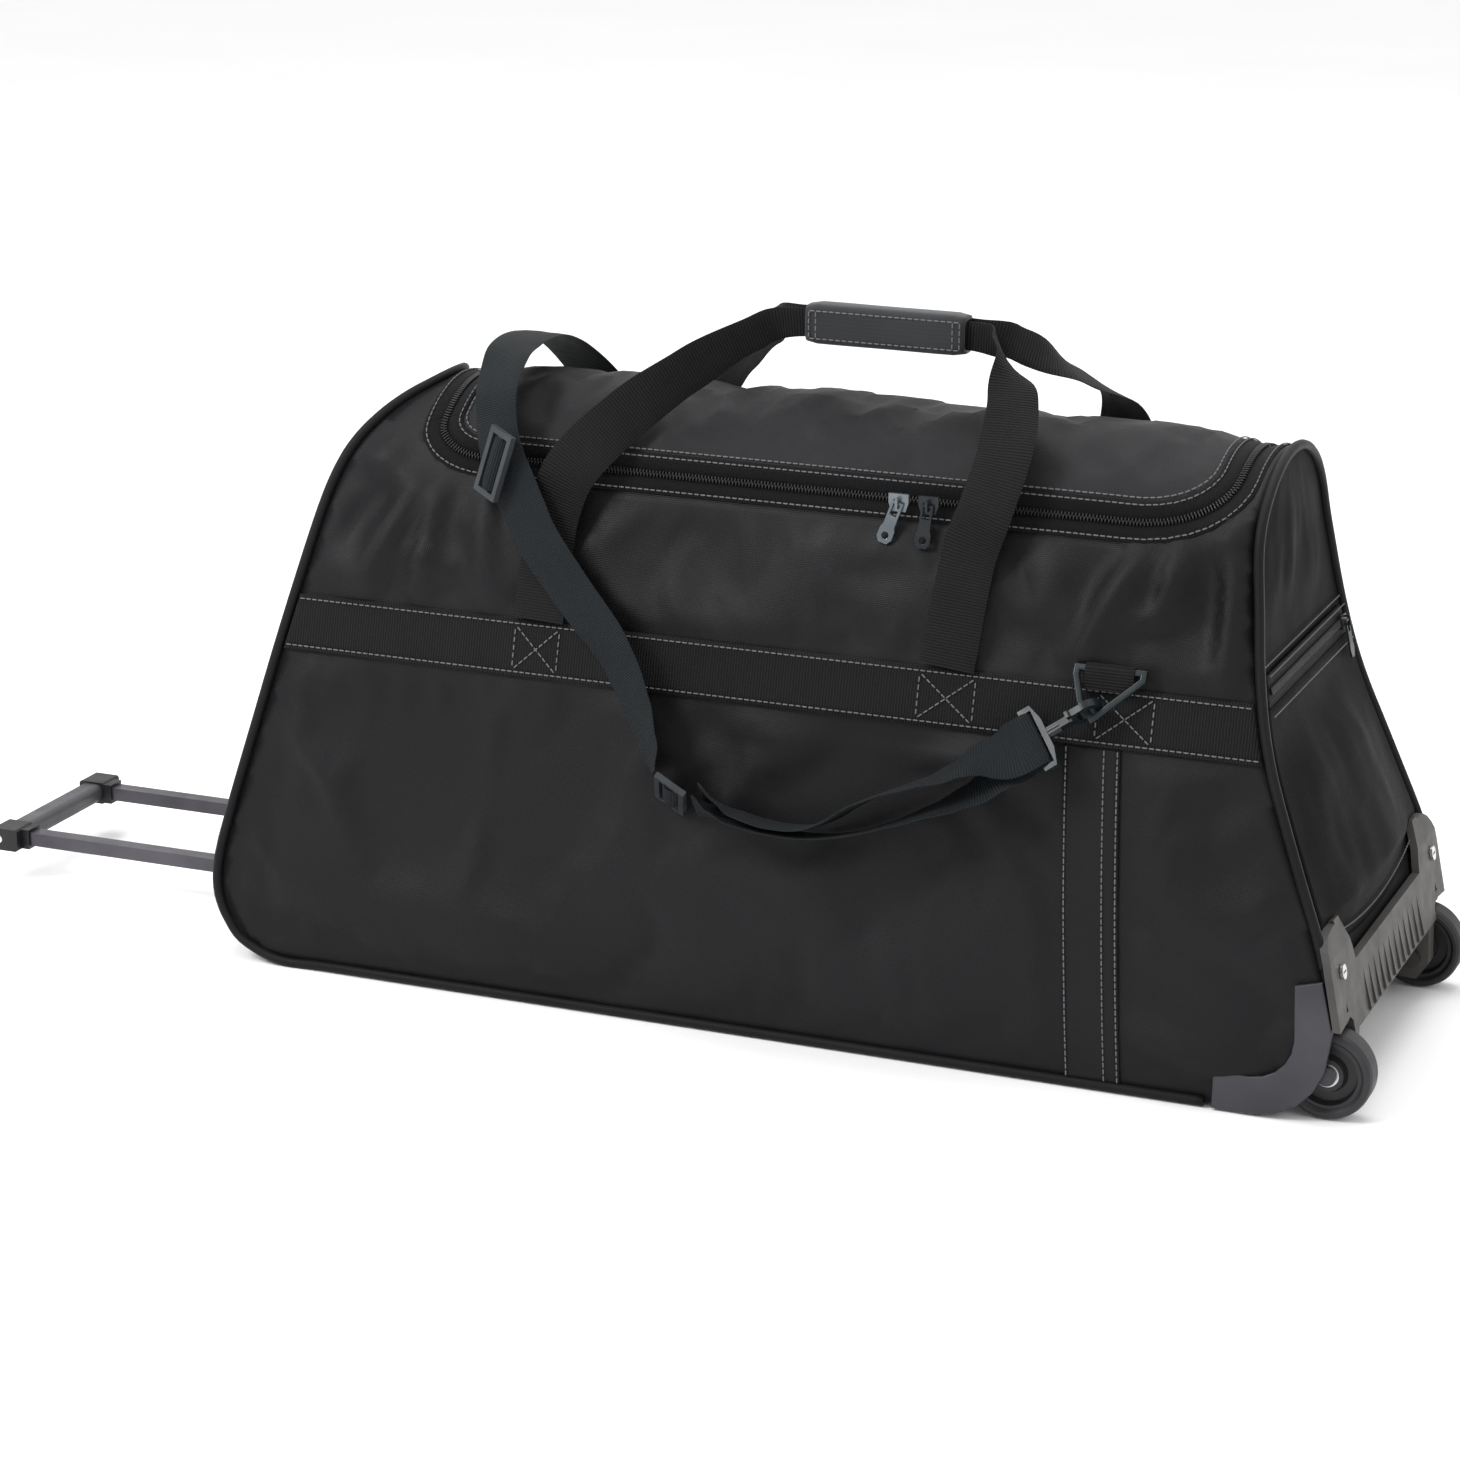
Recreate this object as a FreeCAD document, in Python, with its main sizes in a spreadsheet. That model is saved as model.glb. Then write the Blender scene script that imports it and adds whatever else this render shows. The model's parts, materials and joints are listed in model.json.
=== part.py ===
"""Rolling duffel bag, parametric model. Millimetres, +Z up.

X runs along the bag: the pull-out trolley handle is at -X and the wheels are at +X.
The front panel faces -Y. Z = 0 is the floor that the wheels and the base rest on.
"""
import FreeCAD, Part

import math
import os

import Sketcher

Vector = FreeCAD.Vector
Rotation = FreeCAD.Rotation
Placement = FreeCAD.Placement
X_AXIS = Vector(1, 0, 0)
Y_AXIS = Vector(0, 1, 0)
Z_AXIS = Vector(0, 0, 1)

# ---------------------------------------------------------------- driving dimensions
DIMENSIONS = [
    ("overall_half_length", 536, "origin to the grip's and the wheels' far ends"),
    ("cloth", 3, "fabric with its lining and foam"),
    ("base_half_depth", 150, "half depth of the bag at the floor"),
    ("waist_half_depth", 131, "half depth at waist_height"),
    ("waist_height", 178, "height of the middle of the side panels"),
    ("zip_half_depth", 80, "half depth where the side panels meet the top"),
    ("zip_height", 357, "height of that line"),
    ("crown_height", 414, "highest line of the lid"),
    ("zip_middle_height", 367, "height of the zip's teeth along the front"),
    ("zip_half_width", 10, "width of the tape on each side of the teeth"),
    ("zip_left", -160, "left end of the zip's loop"),
    ("zip_right", 408, "right end of the zip's loop"),
    ("zip_left_radius", 42, "corner of the zip's loop"),
    ("zip_right_radius", 70, "corner of the zip's loop"),
    ("body_gap", 0.5, "gap between pieces that move apart"),
    ("belt_low", 226, "lower edge of the webbing belt"),
    ("webbing_width", 38, "belt, handles and shoulder strap"),
    ("webbing", 2, "thickness of webbing"),
    ("wheel_radius", 30, "tyre"),
    ("wheel_width", 22, "tyre"),
    ("wheel_offset", 132, "centre plane of each wheel from the middle"),
    ("tyre_depth", 7, "tyre, from tread to rim"),
    ("axle_radius", 4, "wheel axle"),
    ("running_clearance", 0.06, "axle in bearing"),
    ("bearing_radius", 8, "outside of the bearing"),
    ("tube_offset", 60, "trolley tube from the middle"),
    ("tube_height", 34, "trolley tube's axis above the floor"),
    ("inner_tube_width", 12, "telescoping tube"),
    ("inner_tube_depth", 10, "telescoping tube"),
    ("outer_tube_width", 16, "fixed tube"),
    ("outer_tube_depth", 14, "fixed tube"),
    ("outer_tube_start", -288, "left end of the fixed tubes"),
    ("outer_tube_end", 452, "right end of the fixed tubes"),
    ("inner_tube_end", 150, "right end of the telescoping tubes at rest"),
    ("tube_wall", 1.2, "wall of every tube"),
    ("grip_length", 150, "trolley grip across its end caps"),
    ("grip_width", 22, "trolley grip"),
    ("grip_thickness", 17, "trolley grip"),
    ("grip_cap_length", 23, "end cap of the grip, along the grip"),
    ("screw_offset", 129, "housing screw from the middle"),
    ("screw_height", 97, "housing screw above the floor"),
    ("ear_inner", 95, "inner edge of a housing ear"),
    ("ear_outer", 151, "outer edge of a housing ear"),
    ("ear_height", 125, "top of a housing ear"),
    ("bar_height", 95, "top of the housing's cross bar"),
    ("bar_low", 54, "bottom of the housing's cross bar"),
    ("hand_grip_left", 86, "left end of the carry handle's wrap"),
    ("hand_grip_right", 208, "right end of the carry handle's wrap"),
    ("hand_grip_height", 465, "middle of the carry handle's wrap"),
    ("ring_middle", 345, "D-ring, along the bag"),
    ("ring_height", 277, "D-ring's bar"),
    ("ring_depth", 115.5, "D-ring's bar from the middle"),
    ("slider_left_place", 186, "left zip slider at rest"),
    ("slider_right_place", 207, "right zip slider at rest"),
    ("pocket_zip_height", 269, "end pocket's zip"),
    ("strap_middle", 95, "the shoulder strap's two ends are a half turn apart about this X"),
]

doc = FreeCAD.newDocument("RollingDuffel")
sheet = doc.addObject("Spreadsheet::Sheet", "Dims")
for row, (alias, value, note) in enumerate(DIMENSIONS, start=1):
    sheet.set(f"A{row}", note)
    sheet.set(f"B{row}", str(value))
    sheet.setAlias(f"B{row}", alias)
doc.recompute()

PARTS = []


class Size:
    """A length that knows its value and the spreadsheet expression that drives it."""

    def __init__(self, value, text):
        self.value = float(value)
        self.text = text

    def _join(self, other, sign, value):
        return Size(value, f"({self.text} {sign} {size(other).text})")

    def __add__(self, other):
        return self._join(other, "+", self.value + size(other).value)

    def __sub__(self, other):
        return self._join(other, "-", self.value - size(other).value)

    def __mul__(self, other):
        return self._join(other, "*", self.value * size(other).value)

    def __truediv__(self, other):
        return self._join(other, "/", self.value / size(other).value)

    def __neg__(self):
        return size(0) - self

    def __rsub__(self, other):
        return size(other) - self

    __radd__ = __add__
    __rmul__ = __mul__


def size(value):
    return value if isinstance(value, Size) else Size(value, repr(float(value)))


def dim(alias):
    """The spreadsheet cell of that alias as a Size."""
    return Size(sheet.get(alias), f"Dims.{alias}")


def bind(obj, property_name, value):
    """Drives a property from the spreadsheet."""
    obj.setExpression(property_name, size(value).text)


def place(obj, at):
    for axis, value in zip("xyz", at):
        bind(obj, f"Placement.Base.{axis}", value)


def keep(obj, label):
    """Makes an object a sub-part of the bag."""
    obj.Label = label
    PARTS.append(obj)
    return obj


# ---------------------------------------------------------------- building blocks
def box(name, length, width, height, at):
    obj = doc.addObject("Part::Box", name)
    bind(obj, "Length", length)
    bind(obj, "Width", width)
    bind(obj, "Height", height)
    place(obj, at)
    return obj


def cylinder(name, radius, height, at, axis=Z_AXIS):
    obj = doc.addObject("Part::Cylinder", name)
    bind(obj, "Radius", radius)
    bind(obj, "Height", height)
    obj.Placement = Placement(Vector(), Rotation(Z_AXIS, axis))
    place(obj, at)
    return obj


def cut(name, base, tool):
    obj = doc.addObject("Part::Cut", name)
    obj.Base = base
    obj.Tool = tool
    return obj


def fuse(name, pieces):
    obj = doc.addObject("Part::MultiFuse", name)
    obj.Shapes = pieces
    return obj


def group(name, pieces):
    """Separate solids that are one node."""
    obj = doc.addObject("Part::Compound", name)
    obj.Links = pieces
    return obj


def new_body(name):
    return doc.addObject("PartDesign::Body", name)


PLANE_SIGNS = {"XY_Plane": 1, "XZ_Plane": -1, "YZ_Plane": 1}


def sketch(body, plane, loops, offset):
    """A sketch of closed loops. A loop is a list of (across, up) corners or ("circle", across, up, radius)."""
    obj = body.newObject("Sketcher::SketchObject", body.Name + "_sketch")
    support = [o for o in body.Origin.OriginFeatures if o.Role == plane][0]
    obj.AttachmentSupport = [(support, "")]
    obj.MapMode = "FlatFace"
    bind(obj, "AttachmentOffset.Base.z", size(offset) * PLANE_SIGNS[plane])
    for loop in loops:
        if loop[0] == "circle":
            sketch_circle(obj, *loop[1:])
        else:
            sketch_polygon(obj, loop)
    return obj


def fix(obj, kind, geometry, point, value):
    """Fixes one coordinate of a sketch point from the sketch's origin."""
    value = size(value)
    index = obj.addConstraint(Sketcher.Constraint(kind, -1, 1, geometry, point, value.value))
    obj.setExpression(f"Constraints[{index}]", value.text)


def sketch_polygon(obj, corners):
    corners = [(size(a), size(b)) for a, b in corners]
    first = obj.GeometryCount
    count = len(corners)
    ends = [Vector(a.value, b.value, 0) for a, b in corners]
    for i in range(count):
        obj.addGeometry(Part.LineSegment(ends[i], ends[(i + 1) % count]), False)
    for i in range(count):
        following = first + (i + 1) % count
        obj.addConstraint(Sketcher.Constraint("Coincident", first + i, 2, following, 1))
        fix(obj, "DistanceX", first + i, 1, corners[i][0])
        fix(obj, "DistanceY", first + i, 1, corners[i][1])


def sketch_circle(obj, across, up, radius):
    radius = size(radius)
    centre = Vector(size(across).value, size(up).value, 0)
    index = obj.addGeometry(Part.Circle(centre, Z_AXIS, radius.value), False)
    fix(obj, "DistanceX", index, 3, across)
    fix(obj, "DistanceY", index, 3, up)
    constraint = obj.addConstraint(Sketcher.Constraint("Radius", index, radius.value))
    obj.setExpression(f"Constraints[{constraint}]", radius.text)


def extrude(body, feature, plane, loops, start, length):
    """Pads or pockets loops between start and start + length along the plane's axis."""
    length = size(length)
    far = plane == "XZ_Plane"
    # a pocket runs against its sketch's normal, so it starts from the other end
    if feature == "PartDesign::Pocket":
        far = not far
    base = sketch(body, plane, loops, size(start) + length if far else start)
    obj = body.newObject(feature, body.Name + "_" + feature.split("::")[1])
    obj.Profile = base
    bind(obj, "Length", length)
    return obj


def pad(body, plane, loops, start, length):
    return extrude(body, "PartDesign::Pad", plane, loops, start, length)


def pocket(body, plane, loops, start, length):
    return extrude(body, "PartDesign::Pocket", plane, loops, start, length)


def fillet(body, feature, choose, radius):
    """Rounds the edges of a feature that choose(edge) picks."""
    doc.recompute()
    names = [f"Edge{i}" for i, edge in enumerate(feature.Shape.Edges, start=1) if choose(edge)]
    obj = body.newObject("PartDesign::Fillet", body.Name + "_fillet")
    obj.Base = (feature, names)
    bind(obj, "Radius", radius)
    return obj


def revolve(body, loop):
    """Turns a loop, drawn as (across the wheel, radius), about the Y axis."""
    base = sketch(body, "XY_Plane", [[(radius, across) for across, radius in loop]], 0)
    obj = body.newObject("PartDesign::Revolution", body.Name + "_revolution")
    obj.Profile = base
    obj.ReferenceAxis = (base, ["V_Axis"])
    obj.Angle = 360
    return obj


def feature(name, shape, placement=None):
    """A sub-part whose shape comes straight from Part's own functions."""
    obj = doc.addObject("Part::Feature", name)
    obj.Shape = shape
    if placement is not None:
        obj.Placement = placement
    return keep(obj, name)


def arc(a, b, c):
    return Part.Arc(Vector(*a), Vector(*b), Vector(*c)).toShape()


def line(a, b):
    return Part.LineSegment(Vector(*a), Vector(*b)).toShape()


def block(low, high):
    corner = Vector(*low)
    span = Vector(*high) - corner
    return Part.makeBox(span.x, span.y, span.z, corner)


# ---------------------------------------------------------------- the bag's outer form
FAR = 600
CLOTH = dim("cloth").value
BASE_HALF = dim("base_half_depth").value
ZIP_HALF = dim("zip_half_depth").value
ZIP_HEIGHT = dim("zip_height").value
CROWN = dim("crown_height").value
SKIN_GAP = 0.2


def cross_section():
    """The D-shaped section across the bag: bulged sides under one round top."""
    waist = dim("waist_half_depth").value
    waist_z = dim("waist_height").value
    start = -FAR
    edges = [
        line((start, -BASE_HALF, 0), (start, BASE_HALF, 0)),
        arc((start, BASE_HALF, 0), (start, waist, waist_z), (start, ZIP_HALF, ZIP_HEIGHT)),
        arc((start, ZIP_HALF, ZIP_HEIGHT), (start, 0, CROWN), (start, -ZIP_HALF, ZIP_HEIGHT)),
        arc((start, -ZIP_HALF, ZIP_HEIGHT), (start, -waist, waist_z), (start, -BASE_HALF, 0)),
    ]
    return Part.Wire(Part.__sortEdges__(edges))


def side_outline():
    """The bag seen from the front: round left corners and a leaning, slightly hollow right end."""
    left_side = [(-236, 335), (-252, 266), (-274, 174), (-301, 73)]
    right_side = [(512, 55), (501, 109), (481, 158), (452, 231), (441, 280), (430, 364), (430, 432)]
    top_left = (-136, 432)
    bottom_left = (-252, 0)
    bottom_right = (467, 0)

    def at(point):
        return (point[0], -FAR, point[1])

    def chain(points):
        return [line(at(a), at(b)) for a, b in zip(points, points[1:])]

    edges = [line(at(bottom_left), at(bottom_right))]
    edges += [arc(at(bottom_right), at((501, 19)), at(right_side[0]))]
    edges += chain(right_side + [top_left])
    edges += [arc(at(top_left), at((-206, 396)), at(left_side[0]))]
    edges += chain(left_side)
    edges += [arc(at(left_side[-1]), at((-288, 18)), at(bottom_left))]
    return Part.Wire(Part.__sortEdges__(edges))


def zip_outline():
    """The loop of the zip's teeth, seen from the front. It is open to the sky above the bag."""
    low = dim("zip_middle_height").value
    left = dim("zip_left").value
    right = dim("zip_right").value
    left_round = dim("zip_left_radius").value
    right_round = dim("zip_right_radius").value
    slack = 1 - math.sqrt(0.5)
    above = low + right_round + 60

    def at(across, up):
        return (across, -FAR, up)

    edges = [
        line(at(left + left_round, low), at(right - right_round, low)),
        arc(
            at(right - right_round, low),
            at(right - right_round * slack, low + right_round * slack),
            at(right, low + right_round),
        ),
        line(at(right, low + right_round), at(right, above)),
        line(at(right, above), at(left, above)),
        line(at(left, above), at(left, low + left_round)),
        arc(
            at(left, low + left_round),
            at(left + left_round * slack, low + left_round * slack),
            at(left + left_round, low),
        ),
    ]
    return Part.Wire(Part.__sortEdges__(edges))


def prism(wire, grow, direction):
    """A wire, grown outwards by grow, extruded right through the bag."""
    if grow:
        wire = wire.makeOffset2D(grow, 2)
    return Part.Face(wire).extrude(direction * (2 * FAR))


def section_prism(grow):
    return prism(cross_section(), grow, X_AXIS)


def outline_prism(grow):
    return prism(side_outline(), grow, Y_AXIS)


def zip_prism(grow):
    return prism(zip_outline(), grow, Y_AXIS)


def half_depth(height):
    """Half the bag's outer depth at a height."""
    level = block((-1, -FAR, height), (1, FAR, height + 0.01))
    return section_prism(0).common(level).BoundBox.YMax


def skin(inner, outer):
    """The layer between two offsets of the cross-section, inside the end panels."""
    return section_prism(outer).cut(section_prism(inner))


# ---------------------------------------------------------------- fabric panels
BACK_ZIP_END = 55
HOUSING_START = 462
END_SEAM = CLOTH + SKIN_GAP
WELL_LEFT = 474
WELL_TOP = 68


def panels():
    half_gap = dim("body_gap").value / 2
    tape = dim("zip_half_width").value
    wall = skin(-CLOTH, 0).common(outline_prism(-END_SEAM))
    for side in (-1, 1):
        low = (WELL_LEFT, min(side * FAR, 0), -1)
        high = (FAR, max(side * FAR, 0), WELL_TOP)
        wall = wall.cut(block(low, high))
    side_wall = wall.common(block((-FAR, -FAR, CLOTH + SKIN_GAP), (FAR, FAR, ZIP_HEIGHT)))
    feature("front_panel", side_wall.common(block((-FAR, -FAR, 0), (FAR, 0, FAR))))
    feature("back_panel", side_wall.common(block((-FAR, 0, 0), (FAR, FAR, FAR))))

    arch = wall.common(block((-FAR, -FAR, ZIP_HEIGHT), (FAR, FAR, FAR)))
    zipped = block((-FAR, -FAR, 0), (FAR, BACK_ZIP_END, FAR))
    body_tape = arch.common(zip_prism(tape).cut(zip_prism(half_gap))).common(zipped)
    lid_tape = arch.common(zip_prism(-half_gap).cut(zip_prism(-tape))).common(zipped)
    feature("body_zip_tape", body_tape)
    feature("lid_zip_tape", lid_tape)
    feature("lid_panel", arch.common(zip_prism(-half_gap)).cut(lid_tape))
    feature("top_gusset", arch.cut(zip_prism(half_gap)).cut(body_tape))

    ends = outline_prism(0).cut(outline_prism(-CLOTH)).common(section_prism(0))
    tube_slot = block((-FAR, -76, 19), (0, 76, 49))
    feature("left_end_panel", ends.common(block((-FAR, -FAR, 0), (-250, FAR, FAR))).cut(tube_slot)
            .fuse(ends.common(block((-250, -FAR, 300), (0, FAR, FAR)))).removeSplitter())
    feature("right_end_panel", ends.common(block((400, -FAR, WELL_TOP), (FAR, FAR, FAR))))
    feature("bottom_panel", ends.common(block((-249.8, -FAR, 0), (HOUSING_START, FAR, CLOTH))))


def trims():
    """Piping along the seams, the webbing belt and the stitched strip on the front."""
    bead = skin(SKIN_GAP, 2.8)
    rim = outline_prism(0).cut(outline_prism(-5))
    seam = bead.common(rim).common(block((-FAR, -FAR, 0), (FAR, FAR, FAR)))
    left = seam.common(block((-FAR, -FAR, 0), (HOUSING_START - 34, FAR, CROWN + 10)))
    left = left.cut(block((0, -FAR, 100), (FAR, FAR, FAR)))
    feature("left_piping", left)
    feature("right_piping", seam.common(block((400, -FAR, 104), (FAR, FAR, FAR))))

    belt_low = dim("belt_low").value
    belt_high = belt_low + dim("webbing_width").value
    band = skin(SKIN_GAP, dim("webbing").value).common(outline_prism(-5.4))
    feature("webbing_belts", band.common(block((-FAR, -FAR, belt_low), (FAR, FAR, belt_high))))

    strip_top = belt_low - SKIN_GAP
    strip_shift = 16
    strip_left = 333
    strip_width = 38
    foot = CLOTH + 3
    corners = [
        (strip_left, -FAR, foot),
        (strip_left + strip_width, -FAR, foot),
        (strip_left + strip_width - strip_shift, -FAR, strip_top),
        (strip_left - strip_shift, -FAR, strip_top),
    ]
    outline = Part.makePolygon([Vector(*c) for c in corners + corners[:1]])
    slab = Part.Face(outline).extrude(Y_AXIS * FAR)
    feature("front_strip", skin(SKIN_GAP, 1.4).common(slab))


def end_pocket():
    """The flat zipped pocket on the right end: its panel and its zip's tape."""
    tape_low = dim("pocket_zip_height").value - 10
    tape_high = tape_low + 20
    inside = section_prism(-6)
    layer = outline_prism(2).cut(outline_prism(SKIN_GAP)).common(inside)
    low = dim("ear_height").value + 4
    feature("end_pocket_panel", layer.common(block((400, -FAR, low), (FAR, FAR, tape_low))))
    feature("end_pocket_zip_tape", layer.common(
        block((400, -FAR, tape_low + SKIN_GAP), (FAR, FAR, tape_high))))


# ---------------------------------------------------------------- webbing
def ribbon(stations, thickness):
    """Flat webbing through stations of (centre, width direction, width), ruled from one to the next."""
    centres = [Vector(*c) for c, _, _ in stations]
    outlines = []
    for i, (centre, (_, across, width)) in enumerate(zip(centres, stations)):
        run = centres[min(i + 1, len(centres) - 1)] - centres[max(i - 1, 0)]
        run.normalize()
        side = Vector(*across)
        side = side - run * side.dot(run)
        side.normalize()
        up = run.cross(side)
        half = side * (width / 2)
        lift = up * (thickness / 2)
        corners = [centre + half + lift, centre - half + lift, centre - half - lift, centre + half - lift]
        outlines.append(Part.makePolygon(corners + corners[:1]))
    return Part.makeLoft(outlines, True, True)


def handles():
    width = dim("webbing_width").value
    thickness = dim("webbing").value
    left = dim("hand_grip_left").value
    right = dim("hand_grip_right").value
    high = dim("hand_grip_height").value
    grip_width = 20
    along = (1, 0, 0)
    front = [
        ((-63, -116, 266), along, width),
        ((-61, -105, 308), along, width),
        ((-57, -98, 343), along, width),
        ((-45, -94, 372), (1, 0.1, -0.3), width),
        ((-17, -74, 404), (0.8, 0.4, -0.4), 36),
        ((18, -48, 433), (0.6, 0.6, -0.5), 34),
        ((54, -20, 456), (0.3, 0.4, -0.8), 26),
        ((left, -5, high), (0, 0, -1), grip_width),
        ((right, -5, high), (0, 0, -1), grip_width),
        ((234, -20, 458), (0.4, 0.2, -0.8), 26),
        ((251, -46, 435), (1, 0.1, -0.4), 34),
        ((256, -76, 404), along, width),
        ((250, -94, 370), along, width),
        ((240, -99, 335), along, width),
        ((233, -116, 266), along, width),
    ]
    back = [
        ((-50, 116, 266), along, width),
        ((-48, 105, 308), along, width),
        ((-45, 98, 343), along, width),
        ((-34, 94, 372), (1, -0.1, -0.3), width),
        ((-6, 74, 404), (0.8, -0.4, -0.4), 36),
        ((26, 48, 433), (0.6, -0.6, -0.5), 34),
        ((58, 20, 456), (0.3, -0.4, -0.8), 26),
        ((left, 5, high), (0, 0, -1), grip_width),
        ((right, 5, high), (0, 0, -1), grip_width),
        ((240, 15, 456), (0.4, -0.2, -0.8), 26),
        ((270, 38, 436), (0.8, -0.4, -0.4), 34),
        ((292, 66, 415), (0.9, -0.2, -0.3), width),
        ((288, 90, 384), along, width),
        ((270, 100, 345), along, width),
        ((252, 116, 266), along, width),
    ]
    feature("front_handle_strap", ribbon(front, thickness))
    feature("back_handle_strap", ribbon(back, thickness))


def grip_wrap():
    """The carry handle's wrap: a padded channel, open to the back so the back strap can leave it."""
    body = new_body("grip_wrap_body")
    left = dim("hand_grip_left") + 4
    high = dim("hand_grip_height")
    outer = [(-12, high - 14), (9, high - 14), (9, high + 14), (-12, high + 14)]
    shell = pad(body, "YZ_Plane", [outer], left, dim("hand_grip_right") - 4 - left)
    body.Tip = shell
    inner = [(-8.6, high - 11.2), (12, high - 11.2), (12, high + 11.2), (-8.6, high + 11.2)]
    pocket(body, "YZ_Plane", [inner], left - 1, dim("hand_grip_right") - left)
    keep(body, "grip_wrap")


STRAP_WIDTH = dim("webbing_width").value

# (centre, direction from the webbing's inner or left edge to its outer or right edge)
STRAP_PATH = [
    ((40, -154.5, 180), (0.3, -0.75, 0.6)),
    ((34, -149, 196), (0.6, -0.68, 0.42)),
    ((22, -140, 220), (0.74, -0.55, 0.39)),
    ((8, -133, 244), (0.79, -0.46, 0.4)),
    ((-7, -129, 264), (0.83, -0.35, 0.43)),
    ((-25, -124, 281), (0.85, -0.28, 0.45)),
    ((-45, -118, 301), (0.86, -0.26, 0.44)),
    ((-65, -112, 323), (0.86, -0.22, 0.46)),
    ((-77, -106, 340), (0.85, -0.17, 0.5)),
    ((-87, -100, 354), (0.77, -0.12, 0.6)),
    ((-97, -94, 368), (0.75, -0.1, 0.65)),
    ((-104, -88, 381), (0.82, -0.15, 0.55)),
    ((-110, -79, 395), (0.9, -0.25, 0.3)),
    ((-114, -69, 413), (0.93, -0.3, 0.15)),
    ((-117, -50, 428), (0.95, -0.3, 0.1)),
    ((-120, -27, 436), (0.97, -0.2, 0)),
    ((-121, 0, 438), (1, -0.1, 0)),
    ((-120, 28, 434), (1, 0, 0)),
    ((-115, 54, 420), (1, 0, 0)),
    ((-104, 81, 393), (1, 0, 0.1)),
    ((-86, 101, 356), (0.95, 0, 0.3)),
    ((-62, 110, 325), (0.87, 0.15, 0.45)),
    ((-42, 119, 296), (0.86, 0.26, 0.44)),
    ((-22, 127, 266), (0.86, 0.3, 0.44)),
    ((-5, 135, 236), (0.82, 0.45, 0.42)),
    ((6, 145, 206), (0.7, 0.65, 0.35)),
    ((8, 153, 182), (0.4, 0.9, 0.3)),
    ((-3, 156.4, 163), (0, 0.98, 0.2)),
    ((-27, 156.4, 154), (0, 0.98, 0.2)),
    ((-54, 156, 160), (0, 0.98, 0.1)),
    ((-77, 150, 181), (-0.15, 0.9, -0.3)),
    ((-96, 142, 206), (-0.2, 0.75, -0.6)),
]

LOOP_LOWER = [
    ((70, -155, 162), (0.2, -0.76, 0.62)),
    ((84, -156, 157), (0.1, -0.9, 0.43)),
    ((101, -156.4, 153.5), (0, -0.97, 0.25)),
    ((125, -156.4, 151), (0, -0.98, 0.2)),
    ((153, -156.4, 151), (0, -0.98, 0.2)),
    ((181, -156.4, 156), (0, -0.98, 0.2)),
    ((206, -155.5, 165), (0.05, -0.98, 0.15)),
    ((232, -154, 177), (0.1, -0.98, 0.05)),
    ((256, -151, 189), (0.15, -0.97, -0.15)),
    ((274, -147, 201), (0.2, -0.88, -0.4)),
]

LOOP_UPPER = [
    ((268, -146, 217), (0.2, -0.9, -0.35)),
    ((250, -151, 207), (0.1, -0.98, -0.1)),
    ((228, -154, 197), (0.05, -0.98, 0.1)),
    ((204, -155.5, 187), (0, -0.98, 0.15)),
    ((184, -156.4, 176), (0, -0.98, 0.2)),
    ((167, -156.4, 164), (0, -0.98, 0.2)),
    ((149, -156.4, 156.5), (0, -0.98, 0.2)),
    ((125, -156.4, 155.5), (0, -0.98, 0.2)),
    ((102, -156.4, 160), (0, -0.97, 0.25)),
    ((87, -156, 166), (0.1, -0.9, 0.43)),
    ((74, -155, 172), (0.2, -0.76, 0.62)),
]


def wide(path):
    return [(centre, across, STRAP_WIDTH) for centre, across in path]


def around_swivel(first_side):
    """Stations of webbing that wraps the swivel's bar, from one side of the bar to the other."""
    frame = hook_frame()
    turn = 4.5
    local = [(SWIVEL_BAR - 14, turn + 1.5)]
    for angle in (90, 45, 0, -45, -90):
        direction = math.radians(angle)
        local.append((SWIVEL_BAR + turn * math.cos(direction), turn * math.sin(direction)))
    local.append((SWIVEL_BAR - 14, -turn - 1.5))
    across = frame.Rotation.multVec(-Y_AXIS)
    stations = []
    for along, out in local:
        centre = frame.multVec(Vector(along, 0, out * first_side))
        stations.append((tuple(centre), tuple(across), STRAP_WIDTH))
    return stations


def turned(stations):
    """The same stations a half turn round the bag."""
    middle = dim("strap_middle").value
    return [
        ((2 * middle - x, -y, z), (-across_x, -across_y, across_z), width)
        for (x, y, z), (across_x, across_y, across_z), width in stations
    ]


def shoulder_strap():
    thickness = dim("webbing").value
    long_path = wide(STRAP_PATH) + turned(around_swivel(-1))
    feature("shoulder_strap_long", ribbon(long_path, thickness))
    loop_path = wide(LOOP_LOWER) + around_swivel(-1) + wide(LOOP_UPPER)
    feature("shoulder_strap_loop", ribbon(loop_path, thickness))
    glides = []
    places = (
        ("upper", (-99, -98.6, 368.8), (21, -12, -6), (0.34, 0, 0.94)),
        ("lower", (55, -155, 171), (0.87, 0, -0.49), (0.2, -0.76, 0.62)),
    )
    for name, centre, run, across in places:
        glides.append(tri_glide("tri_glide_" + name, centre, run, across))
    keep(group("tri_glides_group", glides), "tri_glides")


def frame_placement(centre, run, across):
    """A placement whose local X follows run and whose local Y is nearest to across."""
    along = Vector(*run)
    along.normalize()
    side = Vector(*across)
    side = side - along * side.dot(along)
    side.normalize()
    up = along.cross(side)
    return Placement(Vector(*centre), Rotation(along, side, up, "XYZ"))


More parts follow.
